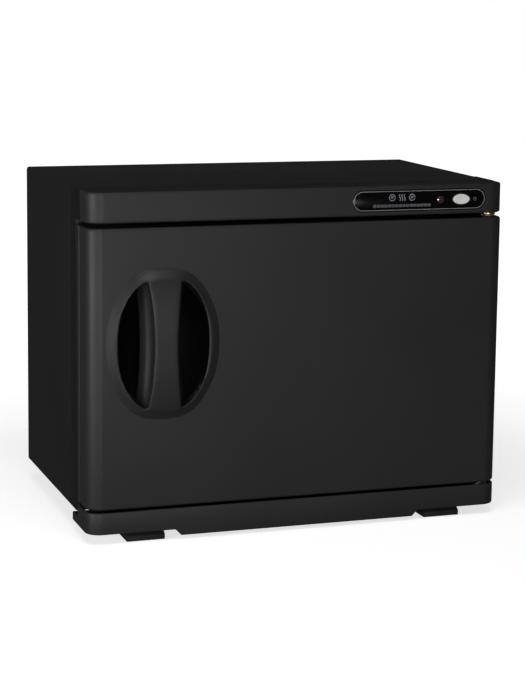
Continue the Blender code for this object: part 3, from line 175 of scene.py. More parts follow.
# a thin film of dust that settles on faces that look up, in soft patches
def dustGroup():
    group = newGroup("settledDust",
                     [("Amount", "NodeSocketFloat", 0.1), ("Patches", "NodeSocketFloat", 30.0)],
                     [("Mask", "NodeSocketFloat")])
    wiring = Wiring(group)
    source, sink = group.nodes["Group Input"], group.nodes["Group Output"]
    normal = wiring.node("ShaderNodeNewGeometry").outputs["Normal"]
    parts = wiring.node("ShaderNodeSeparateXYZ")
    wiring.join(normal, parts.inputs[0])
    upward = wiring.spread(parts.outputs["Z"], 0.3, 1.0, 0.0, 1.0)
    place = wiring.place()
    patches = wiring.spread(wiring.noise(place, source.outputs["Patches"], 6.0, 0.6), 0.35, 0.75, 0.2, 1.0)
    specks = wiring.spread(wiring.noise(place, 2600.0, 1.0), 0.62, 0.72, 0.35, 1.0)
    amount = wiring.math("MULTIPLY", wiring.math("MULTIPLY", upward, patches), specks)
    wiring.join(wiring.math("MULTIPLY", amount, source.outputs["Amount"], True), sink.inputs["Mask"])
    return group


# faint handling marks, as a change of roughness
def smudgeGroup():
    group = newGroup("handlingMarks",
                     [("Size", "NodeSocketFloat", 14.0), ("Amount", "NodeSocketFloat", 0.1)],
                     [("Mask", "NodeSocketFloat")])
    wiring = Wiring(group)
    source, sink = group.nodes["Group Input"], group.nodes["Group Output"]
    broad = wiring.noise(wiring.place(), source.outputs["Size"], 3.0, 0.5)
    streaks = wiring.noise(wiring.place((1.0, 1.0, 0.25)), 90.0, 4.0, 0.6)
    both = wiring.math("MULTIPLY", wiring.spread(broad, 0.4, 0.7, 0.0, 1.0),
                       wiring.spread(streaks, 0.35, 0.7, 0.2, 1.0))
    wiring.join(wiring.math("MULTIPLY", both, source.outputs["Amount"], True), sink.inputs["Mask"])
    return group


# rolled or brushed metal: long fine lines along one axis, set by Stretch
def brushGroup():
    group = newGroup("rolledLines",
                     [("Stretch", "NodeSocketVector", (1.0, 1.0, 1.0)), ("Lines", "NodeSocketFloat", 900.0)],
                     [("Height", "NodeSocketFloat"), ("Cloud", "NodeSocketFloat")])
    wiring = Wiring(group)
    source, sink = group.nodes["Group Input"], group.nodes["Group Output"]
    place = wiring.place()
    stretched = wiring.node("ShaderNodeVectorMath", operation="MULTIPLY")
    wiring.join(place, stretched.inputs[0])
    wiring.join(source.outputs["Stretch"], stretched.inputs[1])
    wiring.join(wiring.noise(stretched.outputs[0], source.outputs["Lines"], 3.0, 0.7), sink.inputs["Height"])
    wiring.join(wiring.noise(place, 12.0, 4.0, 0.55), sink.inputs["Cloud"])
    return group


groups = {"grain": grainGroup(), "edgeHighlight": edgeHighlightGroup(), "dust": dustGroup(),
          "smudge": smudgeGroup(), "brush": brushGroup()}
print("shader groups built:", len(groups))


def startMaterial(name, **constants):
    made = bpy.data.materials.new(name)
    made.use_nodes = True
    shader = made.node_tree.nodes["Principled BSDF"]
    for label, value in constants.items():
        shader.inputs[label.replace("_", " ")].default_value = value
    return made, shader, Wiring(made.node_tree)


def placeGroup(wiring, name, **values):
    made = wiring.node("ShaderNodeGroup")
    made.node_tree = groups[name]
    for label, value in values.items():
        made.inputs[label].default_value = value
    return made


def bumpFrom(wiring, shader, height, strength, distance):
    bump = wiring.node("ShaderNodeBump")
    bump.inputs["Strength"].default_value = strength
    bump.inputs["Distance"].default_value = distance
    wiring.join(height, bump.inputs["Height"])
    wiring.join(bump.outputs["Normal"], shader.inputs["Normal"])


def colour(*rgb):
    return (*rgb, 1.0)


# moulded plastic, paint or rubber, from one dictionary of sizes and amounts
def coatedSurface(name, look, **constants):
    made, shader, wiring = startMaterial(name, **constants)
    grain = placeGroup(wiring, "grain", Cells=look["cells"], Mottle=look["mottle"],
                       Roundness=look["roundness"])
    tint = wiring.spread(grain.outputs["Mottle"], 0.3, 0.7, 0.0, 1.0)
    body = wiring.mixColour(tint, colour(*look["dark"]), colour(*look["light"]))
    # painted highlight: a brighter colour mixed in along the edges
    edgeHighlight = placeGroup(wiring, "edgeHighlight", Radius=look["edge"], Amount=look["edgeHighlight"])
    body = wiring.mixColour(edgeHighlight.outputs["Mask"], body, colour(*look["edgeHighlightColour"]))
    dust = placeGroup(wiring, "dust", Amount=look["dust"])
    body = wiring.mixColour(dust.outputs["Mask"], body, colour(0.32, 0.31, 0.29))
    wiring.join(body, shader.inputs["Base Color"])
    marks = placeGroup(wiring, "smudge", Amount=look["marks"])
    low, high = look["roughness"]
    rough = wiring.spread(grain.outputs["Mottle"], 0.3, 0.7, low, high)
    rough = wiring.math("SUBTRACT", rough, marks.outputs["Mask"])
    rough = wiring.math("ADD", rough, wiring.math("MULTIPLY", dust.outputs["Mask"], 0.3), True)
    wiring.join(rough, shader.inputs["Roughness"])
    bumpFrom(wiring, shader, grain.outputs["Height"], look["bump"], look["depth"])
    return made


# bare or plated metal with rolling lines and cloudy patches
def metalSurface(name, look, spangle):
    made, shader, wiring = startMaterial(name, Metallic=1.0)
    lines = placeGroup(wiring, "brush", Stretch=look["stretch"], Lines=look["lines"])
    cloud = wiring.spread(lines.outputs["Cloud"], 0.3, 0.7, 0.0, 1.0)
    body = wiring.mixColour(cloud, colour(*look["dark"]), colour(*look["light"]))
    if spangle:
        flakes = wiring.cells(wiring.place(), spangle, "Color")
        plain = wiring.node("ShaderNodeRGBToBW")
        wiring.join(flakes, plain.inputs["Color"])
        flakes = wiring.mixColour(plain.outputs["Val"], colour(0.2, 0.2, 0.2), colour(0.8, 0.8, 0.8))
        body = wiring.mixColour(0.18, body, flakes, "OVERLAY")
    wiring.join(body, shader.inputs["Base Color"])
    low, high = look["roughness"]
    wiring.join(wiring.spread(lines.outputs["Cloud"], 0.3, 0.7, low, high), shader.inputs["Roughness"])
    bumpFrom(wiring, shader, lines.outputs["Height"], look["bump"], look["depth"])
    return made


coatNames = ("dark", "light", "edgeHighlightColour", "cells", "mottle", "roundness", "edge", "edgeHighlight", "dust", "marks",
             "roughness", "bump", "depth")


# a coat's look from one row: two body greys and the colour of the painted edge highlight, then the values in
# the order of coatNames
def coat(name, row, **constants):
    return coatedSurface(name, dict(zip(coatNames, row)), **constants)


def grey(level, blue=None):
    return (level, level, level if blue is None else blue)


frontPlastic = coat("frontPlastic", (
    (0.0200, 0.0201, 0.0204), (0.0236, 0.0237, 0.0240), grey(0.062, 0.063),
    2600.0, 7.0, 0.8, 0.0011, 0.35, 0.05, 0.05, (0.43, 0.50), 0.10, 0.00012), Specular_IOR_Level=0.42)
blackPlastic = coat("blackPlastic", (
    grey(0.0060, 0.0063), grey(0.0085, 0.0090), grey(0.030, 0.031),
    1900.0, 11.0, 1.0, 0.0009, 0.3, 0.07, 0.04, (0.47, 0.56), 0.16, 0.00014), Specular_IOR_Level=0.36)
# the finger cup's charcoal plastic with its greys painted about ten times darker, as painted shade in the
# deep hollow behind the pockets
cupPaintedShadePlastic = coat("cupPaintedShadePlastic", (
    grey(0.0020, 0.0021), grey(0.0028, 0.0029), grey(0.008),
    2200.0, 9.0, 0.9, 0.0007, 0.2, 0.03, 0.03, (0.5, 0.58), 0.10, 0.00012), Specular_IOR_Level=0.12)
powderCoat = coat("powderCoat", (
    grey(0.0118, 0.0120), grey(0.0148, 0.0150), grey(0.048, 0.049),
    1250.0, 5.0, 0.35, 0.0010, 0.28, 0.08, 0.04, (0.46, 0.54), 0.22, 0.00020), Specular_IOR_Level=0.34)
footRubber = coat("footRubber", (
    grey(0.0075), (0.0120, 0.0118, 0.0115), (0.035, 0.034, 0.033),
    1500.0, 40.0, 1.0, 0.0014, 0.5, 0.15, 0.02, (0.66, 0.78), 0.3, 0.00016))
gasketRubber = coat("gasketRubber", (
    grey(0.0100, 0.0102), grey(0.0160, 0.0162), grey(0.030),
    2200.0, 25.0, 0.4, 0.0008, 0.2, 0.1, 0.05, (0.5, 0.62), 0.12, 0.00010))
rockerPlastic = coat("rockerPlastic", (
    (0.745, 0.735, 0.705), (0.80, 0.79, 0.765), (0.84, 0.83, 0.81),
    1600.0, 60.0, 0.2, 0.0005, 0.2, 0.03, 0.06, (0.24, 0.32), 0.04, 0.00008))
naturalNylon = coat("naturalNylon", (
    (0.60, 0.58, 0.52), (0.70, 0.68, 0.62), (0.76, 0.75, 0.70),
    1400.0, 50.0, 0.5, 0.0005, 0.2, 0.08, 0.06, (0.42, 0.52), 0.08, 0.0001))
insulationFoam = coat("insulationFoam", (
    (0.62, 0.56, 0.40), (0.78, 0.73, 0.58), (0.80, 0.76, 0.64),
    700.0, 22.0, 1.6, 0.002, 0.1, 0.05, 0.02, (0.86, 0.95), 0.7, 0.0009))
ferrite = coat("ferrite", (
    grey(0.045, 0.048), grey(0.075, 0.078), grey(0.14, 0.145),
    2400.0, 70.0, 0.8, 0.0006, 0.5, 0.1, 0.02, (0.5, 0.62), 0.25, 0.00012), Metallic=0.3)
plateGloss = coat("plateGloss", (
    (0.0010, 0.0011, 0.0014), (0.0016, 0.0017, 0.0021), grey(0.012, 0.014),
    900.0, 40.0, 0.1, 0.0004, 0.3, 0.03, 0.05, (0.13, 0.20), 0.02, 0.00006),
    Specular_IOR_Level=0.2, Coat_Weight=0.2, Coat_Roughness=0.06)
silverPrint = coat("silverPrint", (
    grey(0.36, 0.42), grey(0.44, 0.50), grey(0.5, 0.55),
    3200.0, 120.0, 0.4, 0.0002, 0.0, 0.0, 0.05, (0.3, 0.4), 0.05, 0.00003), Metallic=0.35)
lensMake = (1200.0, 300.0, 0.4, 0.0003, 0.1, 0.02, 0.03, (0.08, 0.14), 0.05, 0.00005)
lensRed = coat("lensRed", ((0.060, 0.006, 0.010), (0.105, 0.012, 0.018), (0.2, 0.05, 0.05), *lensMake),
               Coat_Weight=0.8, Coat_Roughness=0.03)
lampGlass = coat("lampGlass", ((0.5, 0.4, 0.34), (0.62, 0.52, 0.45), (0.2, 0.05, 0.05), *lensMake))

wireColours = {"brownWire": (0.16, 0.055, 0.025), "blueWire": (0.025, 0.10, 0.38),
               "greenWire": (0.13, 0.34, 0.045), "tanWire": (0.58, 0.53, 0.43)}
wireLooks = {}
for wireName, wireTint in wireColours.items():
    wireLooks[wireName] = coat(wireName, (
        tuple(0.85 * part for part in wireTint), tuple(1.1 * part for part in wireTint), wireTint,
        900.0, 80.0, 0.6, 0.0004, 0.0, 0.08, 0.05, (0.4, 0.52), 0.1, 0.0001))

metalNames = ("dark", "light", "stretch", "lines", "roughness", "bump", "depth")
metalRows = {
    "chamberAluminium": ((0.60, 0.61, 0.62), (0.72, 0.73, 0.74), (1.0, 0.03, 1.0), 700.0, (0.27, 0.38),
                         0.12, 0.00012),
    "heaterFoil": ((0.60, 0.58, 0.54), (0.74, 0.72, 0.68), (0.5, 0.5, 0.5), 120.0, (0.22, 0.36), 0.5, 0.0005),
    "zincSteel": ((0.42, 0.43, 0.45), (0.55, 0.56, 0.58), (1.0, 1.0, 0.06), 500.0, (0.33, 0.46),
                  0.08, 0.0001),
    "goldZinc": ((0.50, 0.35, 0.11), (0.68, 0.52, 0.24), (1.0, 0.1, 1.0), 900.0, (0.24, 0.36), 0.1, 0.0001),
    "pinSteel": (grey(0.50, 0.51), grey(0.62, 0.63), (1.0, 1.0, 8.0), 400.0, (0.18, 0.28), 0.08, 0.00008),
    "rackSteel": (grey(0.62, 0.63), grey(0.74, 0.75), (1.0, 0.08, 1.0), 1600.0, (0.12, 0.22), 0.06, 0.00006),
    "brightRing": (grey(0.66, 0.68), grey(0.80, 0.82), (1.0, 1.0, 1.0), 300.0, (0.08, 0.14), 0.03, 0.00005),
}
spangles = {"zincSteel": 95.0}  # crystals of the zinc, in cells per metre
metals = {name: metalSurface(name, dict(zip(metalNames, row)), spangles.get(name))
          for name, row in metalRows.items()}
chamberAluminium, heaterFoil, zincSteel, goldZinc, pinSteel, rackSteel, brightRing = metals.values()
print("materials built:", len(bpy.data.materials))


def addMesh(name, points, faces):
    mesh = bpy.data.meshes.new(name)
    work = bmesh.new()
    corners = [work.verts.new(point) for point in points]
    for face in faces:
        work.faces.new([corners[i] for i in face])
    bmesh.ops.recalc_face_normals(work, faces=work.faces)
    work.to_mesh(mesh)
    work.free()
    made = bpy.data.objects.new(name, mesh)
    bpy.context.scene.collection.objects.link(made)
    return made


# a closed solid over rings of equal length, capped at both ends
def skinned(name, rings):
    count = len(rings[0])
    points = [point for ring in rings for point in ring]
    faces = [list(range(count)), list(range(len(points) - count, len(points)))]
    for ring in range(len(rings) - 1):
        low = ring * count
        for i in range(count):
            j = (i + 1) % count
            faces.append([low + i, low + j, low + count + j, low + count + i])
    return addMesh(name, points, faces)


# a closed solid through flat outlines, each with its place along the Y or Z axis
def loft(name, axis, rings):
    if axis == "Y":
        return skinned(name, [[(u, w, v) for u, v in outline] for outline, w in rings])
    return skinned(name, [[(u, v, w) for u, v in outline] for outline, w in rings])


def block(name, x, y, z):
    return loft(name, "Z", [([(x[0], y[0]), (x[1], y[0]), (x[1], y[1]), (x[0], y[1])], level) for level in z])


def arcLine(centre, radius, start, end, steps):
    turns = [math.radians(start + (end - start) * i / steps) for i in range(steps + 1)]
    return [(centre[0] + radius * math.cos(t), centre[1] + radius * math.sin(t)) for t in turns]


def roundedLine(u0, v0, u1, v1, radius, steps=12):
    line = arcLine((u1 - radius, v1 - radius), radius, 0, 90, steps)
    line += arcLine((u0 + radius, v1 - radius), radius, 90, 180, steps)
    line += arcLine((u0 + radius, v0 + radius), radius, 180, 270, steps)
    return line + arcLine((u1 - radius, v0 + radius), radius, 270, 360, steps)


def ovalLine(u, v, halfU, halfV, steps=96):
    turns = [2 * math.pi * i / steps for i in range(steps)]
    return [(u + halfU * math.cos(t), v + halfV * math.sin(t)) for t in turns]


def turnedPiece(name, axis, centre, profile, steps=48):
    return loft(name, axis, [(ovalLine(*centre, r, r, steps), w) for r, w in profile])


# a plan with two rounded front corners. near and far are depths behind the door's face
def planLine(half, corner, near, far, steps=20):
    y0, y1 = frontY + near, frontY + far
    line = arcLine((-half + corner, y0 + corner), corner, 180, 270, steps)
    line += arcLine((half - corner, y0 + corner), corner, 270, 360, steps)
    return line + [(half, y1), (-half, y1)]


# turns the piece's modifiers into its plain mesh
def applied(piece):
    graph = bpy.context.evaluated_depsgraph_get()
    mesh = bpy.data.meshes.new_from_object(piece.evaluated_get(graph))
    piece.modifiers.clear()
    piece.data = mesh
    mesh.name = piece.name
    return piece


def carve(piece, *cutters, operation="DIFFERENCE"):
    for cutter in cutters:
        change = piece.modifiers.new("carve", "BOOLEAN")
        change.operation = operation
        change.object = cutter
        applied(piece)
        bpy.data.objects.remove(cutter)
    return piece


# merges doubled corners and joins faces that lie in one plane
def tidyMesh(piece, angle=0.8):
    work = bmesh.new()
    work.from_mesh(piece.data)
    bmesh.ops.remove_doubles(work, verts=work.verts, dist=4e-6)
    bmesh.ops.dissolve_degenerate(work, edges=work.edges, dist=2e-6)
    bmesh.ops.dissolve_limit(work, angle_limit=math.radians(angle), verts=work.verts, edges=work.edges)
    work.to_mesh(piece.data)
    work.free()
    return piece


def roundEdges(piece, width, segments=3, angle=32):
    change = piece.modifiers.new("edges", "BEVEL")
    change.width = width
    change.segments = segments
    change.limit_method = "ANGLE"
    change.angle_limit = math.radians(angle)
    return applied(piece)


def shade(piece, angle=32):
    piece.data.shade_smooth()
    piece.data.set_sharp_from_angle(angle=math.radians(angle))
    return piece


# gives a finished piece its material, the body it rides on and the node it stands for
def fit(piece, body, slotName, surface, *stoodFor):
    piece.data.materials.clear()
    piece.data.materials.append(surface)
    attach(piece, body)
    if stoodFor:
        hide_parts(*stoodFor)
    return piece


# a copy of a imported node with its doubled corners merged
def copied(node, name):
    made = bpy.data.objects.new(name, cadNodes[node].data.copy())
    bpy.context.scene.collection.objects.link(made)
    return tidyMesh(made)


def refined(node, name, width, segments=3):
    return shade(roundEdges(copied(node, name), width, segments))


# pairs of inset and travel that follow a quarter round
def softSteps(reach, steps=5):
    turns = [math.pi / 2 * i / steps for i in range(steps + 1)]
    return [(reach * (1 - math.sin(t)), reach * (1 - math.cos(t))) for t in turns]


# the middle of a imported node's box
def middleOf(node):
    low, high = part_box(node)
    return (low + high) / 2


# a moulded front with rounded upright corners and soft upper and lower edges, open behind
def frontShell(name, shape, low, high, openTop=False):
    corner, wall = shape["corner"], shape["wall"]
    depth = high.y - frontY
    layers = [(planLine(halfWide - inset, corner - inset, inset, depth), travel)
              for inset, travel in softSteps(shape["edge"], shape["steps"])]
    rings = [(outline, low.z + travel) for outline, travel in layers]
    rings += [(outline, high.z - travel) for outline, travel in reversed(layers)]
    inner = planLine(halfWide - wall, corner - wall, wall, depth + wall)
    roof = high.z + wall if openTop else high.z - wall
    return carve(loft(name, "Z", rings), loft("hollow", "Z", [(inner, low.z + wall), (inner, roof)]))


# an opening of even outline from near to far behind the face
def opened(piece, outline, near, far):
    return carve(piece, loft("opening", "Y", [(outline, near), (outline, far)]))


doorShape = {"corner": 16 * mm, "edge": 2.5 * mm, "wall": 2.5 * mm, "steps": 6, "cupGap": 0.4 * mm,
             "bushHole": 5.3 * mm}


def makeDoor():
    wall, gap, bore = (doorShape[key] for key in ("wall", "cupGap", "bushHole"))
    door = frontShell("doorPanel", doorShape, doorLow, doorHigh)
    cupLow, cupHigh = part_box("handle_cup")
    middle = (cupLow + cupHigh) / 2
    reach = ((cupHigh.x - cupLow.x) / 2 - gap, (cupHigh.z - cupLow.z) / 2 - gap)
    opened(door, ovalLine(middle.x, middle.z, *reach), frontY - wall, frontY + 2 * wall)
    bush = middleOf("upper_hinge_bush")
    ends = [(bore, doorLow.z - wall), (bore, doorHigh.z + wall)]
    carve(door, turnedPiece("bore", "Z", (bush.x, bush.y), ends))
    return fit(shade(tidyMesh(door, 0.3)), "door", "charcoal_plastic", frontPlastic, "door_shell")


makeDoor()
print("door panel")

handleShape = {
    "power": 2.15, "segments": 144,  # how full the outline is (2 is an ellipse), and its points
    "foot": 1.045, "shoulder": 0.86,  # where the side of the rim starts and ends, as shares of the outline
    "rimRise": 4.2 * mm, "sunk": 0.6 * mm,
    "hub": 0.93,  # share of the outline that reaches back through the door
    "barHalf": 12 * mm, "barEndHalf": 17 * mm, "flare": 9 * mm,
    "crest": (9 * mm, 46 * mm),  # from where to where the arch falls away beside the bar
    "archPower": 3,
    "pocketHalf": (47.3 * mm, 68.4 * mm), "pocketPower": 2.3, "pocketEnd": 0.93, "pocketSteps": 56,
    "pocketLeast": 3 * mm, "pocketTall": 0.6,
    "lip": 2.8 * mm, "undercut": 3.6 * mm,
    "cell": 0.8 * mm, "softening": 6,  # the remesh and smoothing that round the lips
    # shares of the outline, from outside to the middle
    "rings": [1.055, 1.045, 1.035, 1.02, 1.005, 0.99, 0.975, 0.96, 0.945, 0.93, 0.91, 0.89, 0.87, 0.85, 0.82,
              0.78, 0.72, 0.65, 0.57, 0.48, 0.38, 0.28, 0.18, 0.08],
    "sunkFrom": 1.04,
}


def eased(value, low, high):
    t = min(1, max(0, (value - low) / (high - low)))
    return t * t * (3 - 2 * t)


def handleSpace():
    low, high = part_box("handle_bezel")
    middle = (low + high) / 2
    return (middle.x, middle.z), ((high.x - low.x) / 2, (high.z - low.z) / 2), frontY - low.y, high.y


# how far the handle stands ahead of the door, at a place given from its middle
def handleRise(u, v, share, half, crown):
    rim = handleShape["rimRise"]
    side = rim * (1 - eased(share, handleShape["shoulder"], handleShape["foot"]))
    arch = max(0, 1 - abs(v / half[1]) ** handleShape["archPower"])
    across = 1 - eased(abs(u), *handleShape["crest"])
    sunk = handleShape["sunk"] if share > handleShape["sunkFrom"] else 0
    return side + (crown - rim) * arch * across - sunk


# one finger pocket's outline. grow moves its outer side, flare moves the bar's side
def pocketLine(centre, side, grow, flare):
    reachX, reachZ = handleShape["pocketHalf"]
    power, limit, steps = (handleShape[key] for key in ("pocketPower", "pocketEnd", "pocketSteps"))
    waist, end = handleShape["barHalf"], handleShape["barEndHalf"]
    far, near = [], []
    for i in range(steps + 1):
        turn = math.sin(math.pi * (i / steps - 0.5))
        out = reachX * (1 - abs(limit * turn) ** power) ** (1 / power) + grow
        bar = min(waist + (end - waist) * turn**2 + flare, out - handleShape["pocketLeast"])
        v = centre[1] + (reachZ * limit + grow * handleShape["pocketTall"]) * turn
        far.append((centre[0] + side * out, v))
        near.append((centre[0] + side * bar, v))
    line = far + near[::-1]
    return line if side > 0 else line[::-1]


def makeHandle():
    centre, half, crown, rear = handleSpace()
    power, segments, sunk = (handleShape[key] for key in ("power", "segments", "sunk"))
    backs = [(handleShape["hub"], rear), (handleShape["hub"], frontY + sunk)]
    rings = []
    for share, level in backs + [(share, None) for share in handleShape["rings"]]:
        ring = []
        for i in range(segments):
            t = 2 * math.pi * i / segments
            size = share / (abs(math.cos(t)) ** power + abs(math.sin(t)) ** power) ** (1 / power)
            u, v = half[0] * size * math.cos(t), half[1] * size * math.sin(t)
            y = frontY - handleRise(u, v, share, half, crown) if level is None else level
            ring.append((centre[0] + u, y, centre[1] + v))
        rings.append(ring)
    dome = skinned("handleGrip", rings)
    lip = frontY - handleShape["rimRise"] + handleShape["lip"]
    # share of the undercut, share of the flare, and the depth they are reached at
    levels = [(0, 0, frontY - 25 * mm), (0, 0, lip), (0.6, 0.2, frontY + 1.5 * mm),
              (1, 0.55, frontY + 5 * mm), (1, 1, rear - 2 * mm), (1, 1, rear + 20 * mm)]
    for side in (-1, 1):
        cuts = [(pocketLine(centre, side, handleShape["undercut"] * under, handleShape["flare"] * flare), y)
                for under, flare, y in levels]
        carve(dome, loft("pocket", "Y", cuts))
    change = dome.modifiers.new("even", "REMESH")
    change.mode = "VOXEL"
    change.voxel_size = handleShape["cell"]
    change = dome.modifiers.new("soft", "SMOOTH")
    change.factor = 0.5
    change.iterations = handleShape["softening"]
    applied(dome)
    dome.data.shade_smooth()
    return fit(dome, "door", "charcoal_plastic", frontPlastic, "handle_bezel")


makeHandle()
print("handle grip")

cupShape = {"wall": 1.5 * mm, "inset": 6.4 * mm, "mouthDepth": 2.2 * mm, "steps": 16, "sweep": 86,
            "fullness": 0.85}


# a scoop that closes the space behind the finger pockets
def makeCup():
    centre, half, *_ = handleSpace()
    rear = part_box("handle_cup")[1].y
    wall = cupShape["wall"]
    near = frontY + cupShape["mouthDepth"]

    def bowl(grow, start, end):
        rings = []
        for i in range(cupShape["steps"] + 1):
            turn = math.radians(cupShape["sweep"]) * i / cupShape["steps"]
            size = math.cos(turn) ** cupShape["fullness"]
            reach = [(side - cupShape["inset"]) * size + grow for side in half]
            rings.append((ovalLine(*centre, *reach), start + (end - start) * math.sin(turn)))
        return rings

    cup = loft("fingerCup", "Y", bowl(0, near, rear))
    carve(cup, loft("inside", "Y", bowl(-wall, near - mm, rear - wall)))
    return fit(shade(tidyMesh(cup, 0.3), 40), "door", "charcoal_plastic", cupPaintedShadePlastic, "handle_cup")


makeCup()
print("finger cup")

linerShape = {"edge": 0.7 * mm, "inset": 46 * mm, "corner": 16 * mm, "depth": 1.4 * mm}


# the door's inner face, with a shallow sunk field
def makeLiner():
    low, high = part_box("door_liner")
    inset, corner, depth = (linerShape[key] for key in ("inset", "corner", "depth"))
    liner = copied("door_liner", "doorLiner")

    def field(grow):
        inner = inset + grow
        return roundedLine(low.x + inner, low.z + inner, high.x - inner, high.z - inner, corner - grow)

    carve(liner, loft("field", "Y", [(field(depth), high.y - depth), (field(0), high.y),
                                     (field(0), high.y + 2 * mm)]))
    roundEdges(tidyMesh(liner, 0.3), linerShape["edge"])
    return fit(shade(liner), "door", "charcoal_plastic", frontPlastic, "door_liner")


makeLiner()
print("door liner")


headerShape = {"corner": 18 * mm, "edge": 1.8 * mm, "wall": 2.5 * mm, "steps": 5, "gap": 0.3 * mm}
switchShape = {"half": (9.3 * mm, 5.35 * mm), "play": (0.8 * mm, 0.6 * mm), "collar": 0.8 * mm,
               "proud": 1.2 * mm, "axis": 3 * mm, "tilt": -6.0, "points": 64,
               # share of the outline, and depth behind the proudest point
               "crown": [(0.3, 0.25), (0.62, 0.12), (0.84, 0), (0.91, 0.1), (0.965, 0.4), (0.99, 0.8),
                         (1.0, 1.2)],
               "tail": [(1.0, 6.0), (0.55, 9.0)]}
lampShape = {"ring": 3.6 * mm, "lens": 2.5 * mm, "sleeveGap": 0.2 * mm, "boreGap": 0.3 * mm,
             # inset from the ring's outside, and place behind the header's face
             "collar": [(0.75, -1.0), (0.45, -1.0), (0.15, -0.85), (0, -0.5)], "tail": (0.5, 10.0),
             # share of the lens radius, and place behind the header's face
             "dome": [(0.15, -1.14), (0.45, -1.08), (0.72, -0.9), (0.9, -0.6), (1.0, -0.2), (1.0, 5.0)]}
plateEdge = 0.25 * mm


def switchLine(grow):
    middle = middleOf("switch_housing")
    reach = [half + play + grow for half, play in zip(switchShape["half"], switchShape["play"])]
    return ovalLine(middle.x, panelZ, *reach, switchShape["points"])


def plateLine(grow):
    radius = (plateHigh.z - plateLow.z) / 2 + grow - 0.02 * mm
    return roundedLine(plateLow.x - grow, plateLow.z - grow, plateHigh.x + grow, plateHigh.z + grow,
                       radius, 16)


def lampLine(radius):
    middle = middleOf("indicator_bezel")
    return ovalLine(middle.x, middle.z, radius, radius, 48)


def makeHeader():
    wall, gap = headerShape["wall"], headerShape["gap"]
    header = frontShell("headerFront", headerShape, fasciaLow, fasciaHigh, True)
    near, far = frontY - wall, frontY + 2 * wall
    opened(header, plateLine(gap), near, plateHigh.y + gap)
    opened(header, switchLine(switchShape["collar"] + gap), near, far)
    opened(header, lampLine(lampShape["ring"] - lampShape["sleeveGap"]), near, far)
    return fit(shade(tidyMesh(header, 0.3)), "cabinet", "charcoal_plastic", frontPlastic, "header_fascia")


def makePlate():
    y0, y1 = plateLow.y, plateHigh.y
    soft = plateEdge * 0.3
    rings = [(plateLine(-plateEdge), y0), (plateLine(-soft), y0 + soft), (plateLine(0), y0 + plateEdge),
             (plateLine(0), y1)]
    plate = loft("controlPlate", "Y", rings)
    gap = headerShape["gap"]
    opened(plate, switchLine(switchShape["collar"] + gap), y0 - mm, y1 + mm)
    opened(plate, lampLine(lampShape["ring"] + gap), y0 - mm, y1 + mm)
    return fit(shade(tidyMesh(plate, 0.3)), "cabinet", "nameplate", plateGloss, "nameplate")


printShape = {
    "rise": 0.06 * mm, "sink": 0.05 * mm, "line": 0.34 * mm, "fine": 0.272 * mm,
    "border": {"inset": 1.3 * mm, "width": 0.55 * mm},
    "middle": 54.5 * mm, "lift": 3.2 * mm,  # the heat mark's place from the plate's left end and its middle
    "wave": {"shifts": (-2.6, 0, 2.6), "high": 7 * mm, "bend": 0.7 * mm, "width": 0.75 * mm, "steps": 16},
    "roll": {"aside": 11 * mm, "radius": 3.2 * mm, "width": 0.7 * mm, "curl": 1.7 * mm, "thin": 0.5 * mm,
             "steps": 30, "drawn": 26, "turn": 9.5},
    "towel": {"count": 16, "pitch": 4.05 * mm, "drop": 5.2 * mm, "half": (1.35 * mm, 1.15 * mm),
              "corner": 0.5 * mm, "fold": 1.2 * mm},
    "power": {"inset": 12.2 * mm, "radius": 1.55 * mm, "low": 0.3 * mm, "high": 2.1 * mm},
}


# a flat strip of even width along a line of points, as its left and right edges
def ribbon(line, width, closed=False):
    left, right = [], []
    count = len(line)
    for i, (u, v) in enumerate(line):
        before = line[i - 1] if closed or i else line[i]
        after = line[(i + 1) % count] if closed or i < count - 1 else line[i]
        along = Vector((after[0] - before[0], after[1] - before[1])).normalized()
        left.append((u - along.y * width / 2, v + along.x * width / 2))
        right.append((u + along.y * width / 2, v - along.x * width / 2))
    return left, right


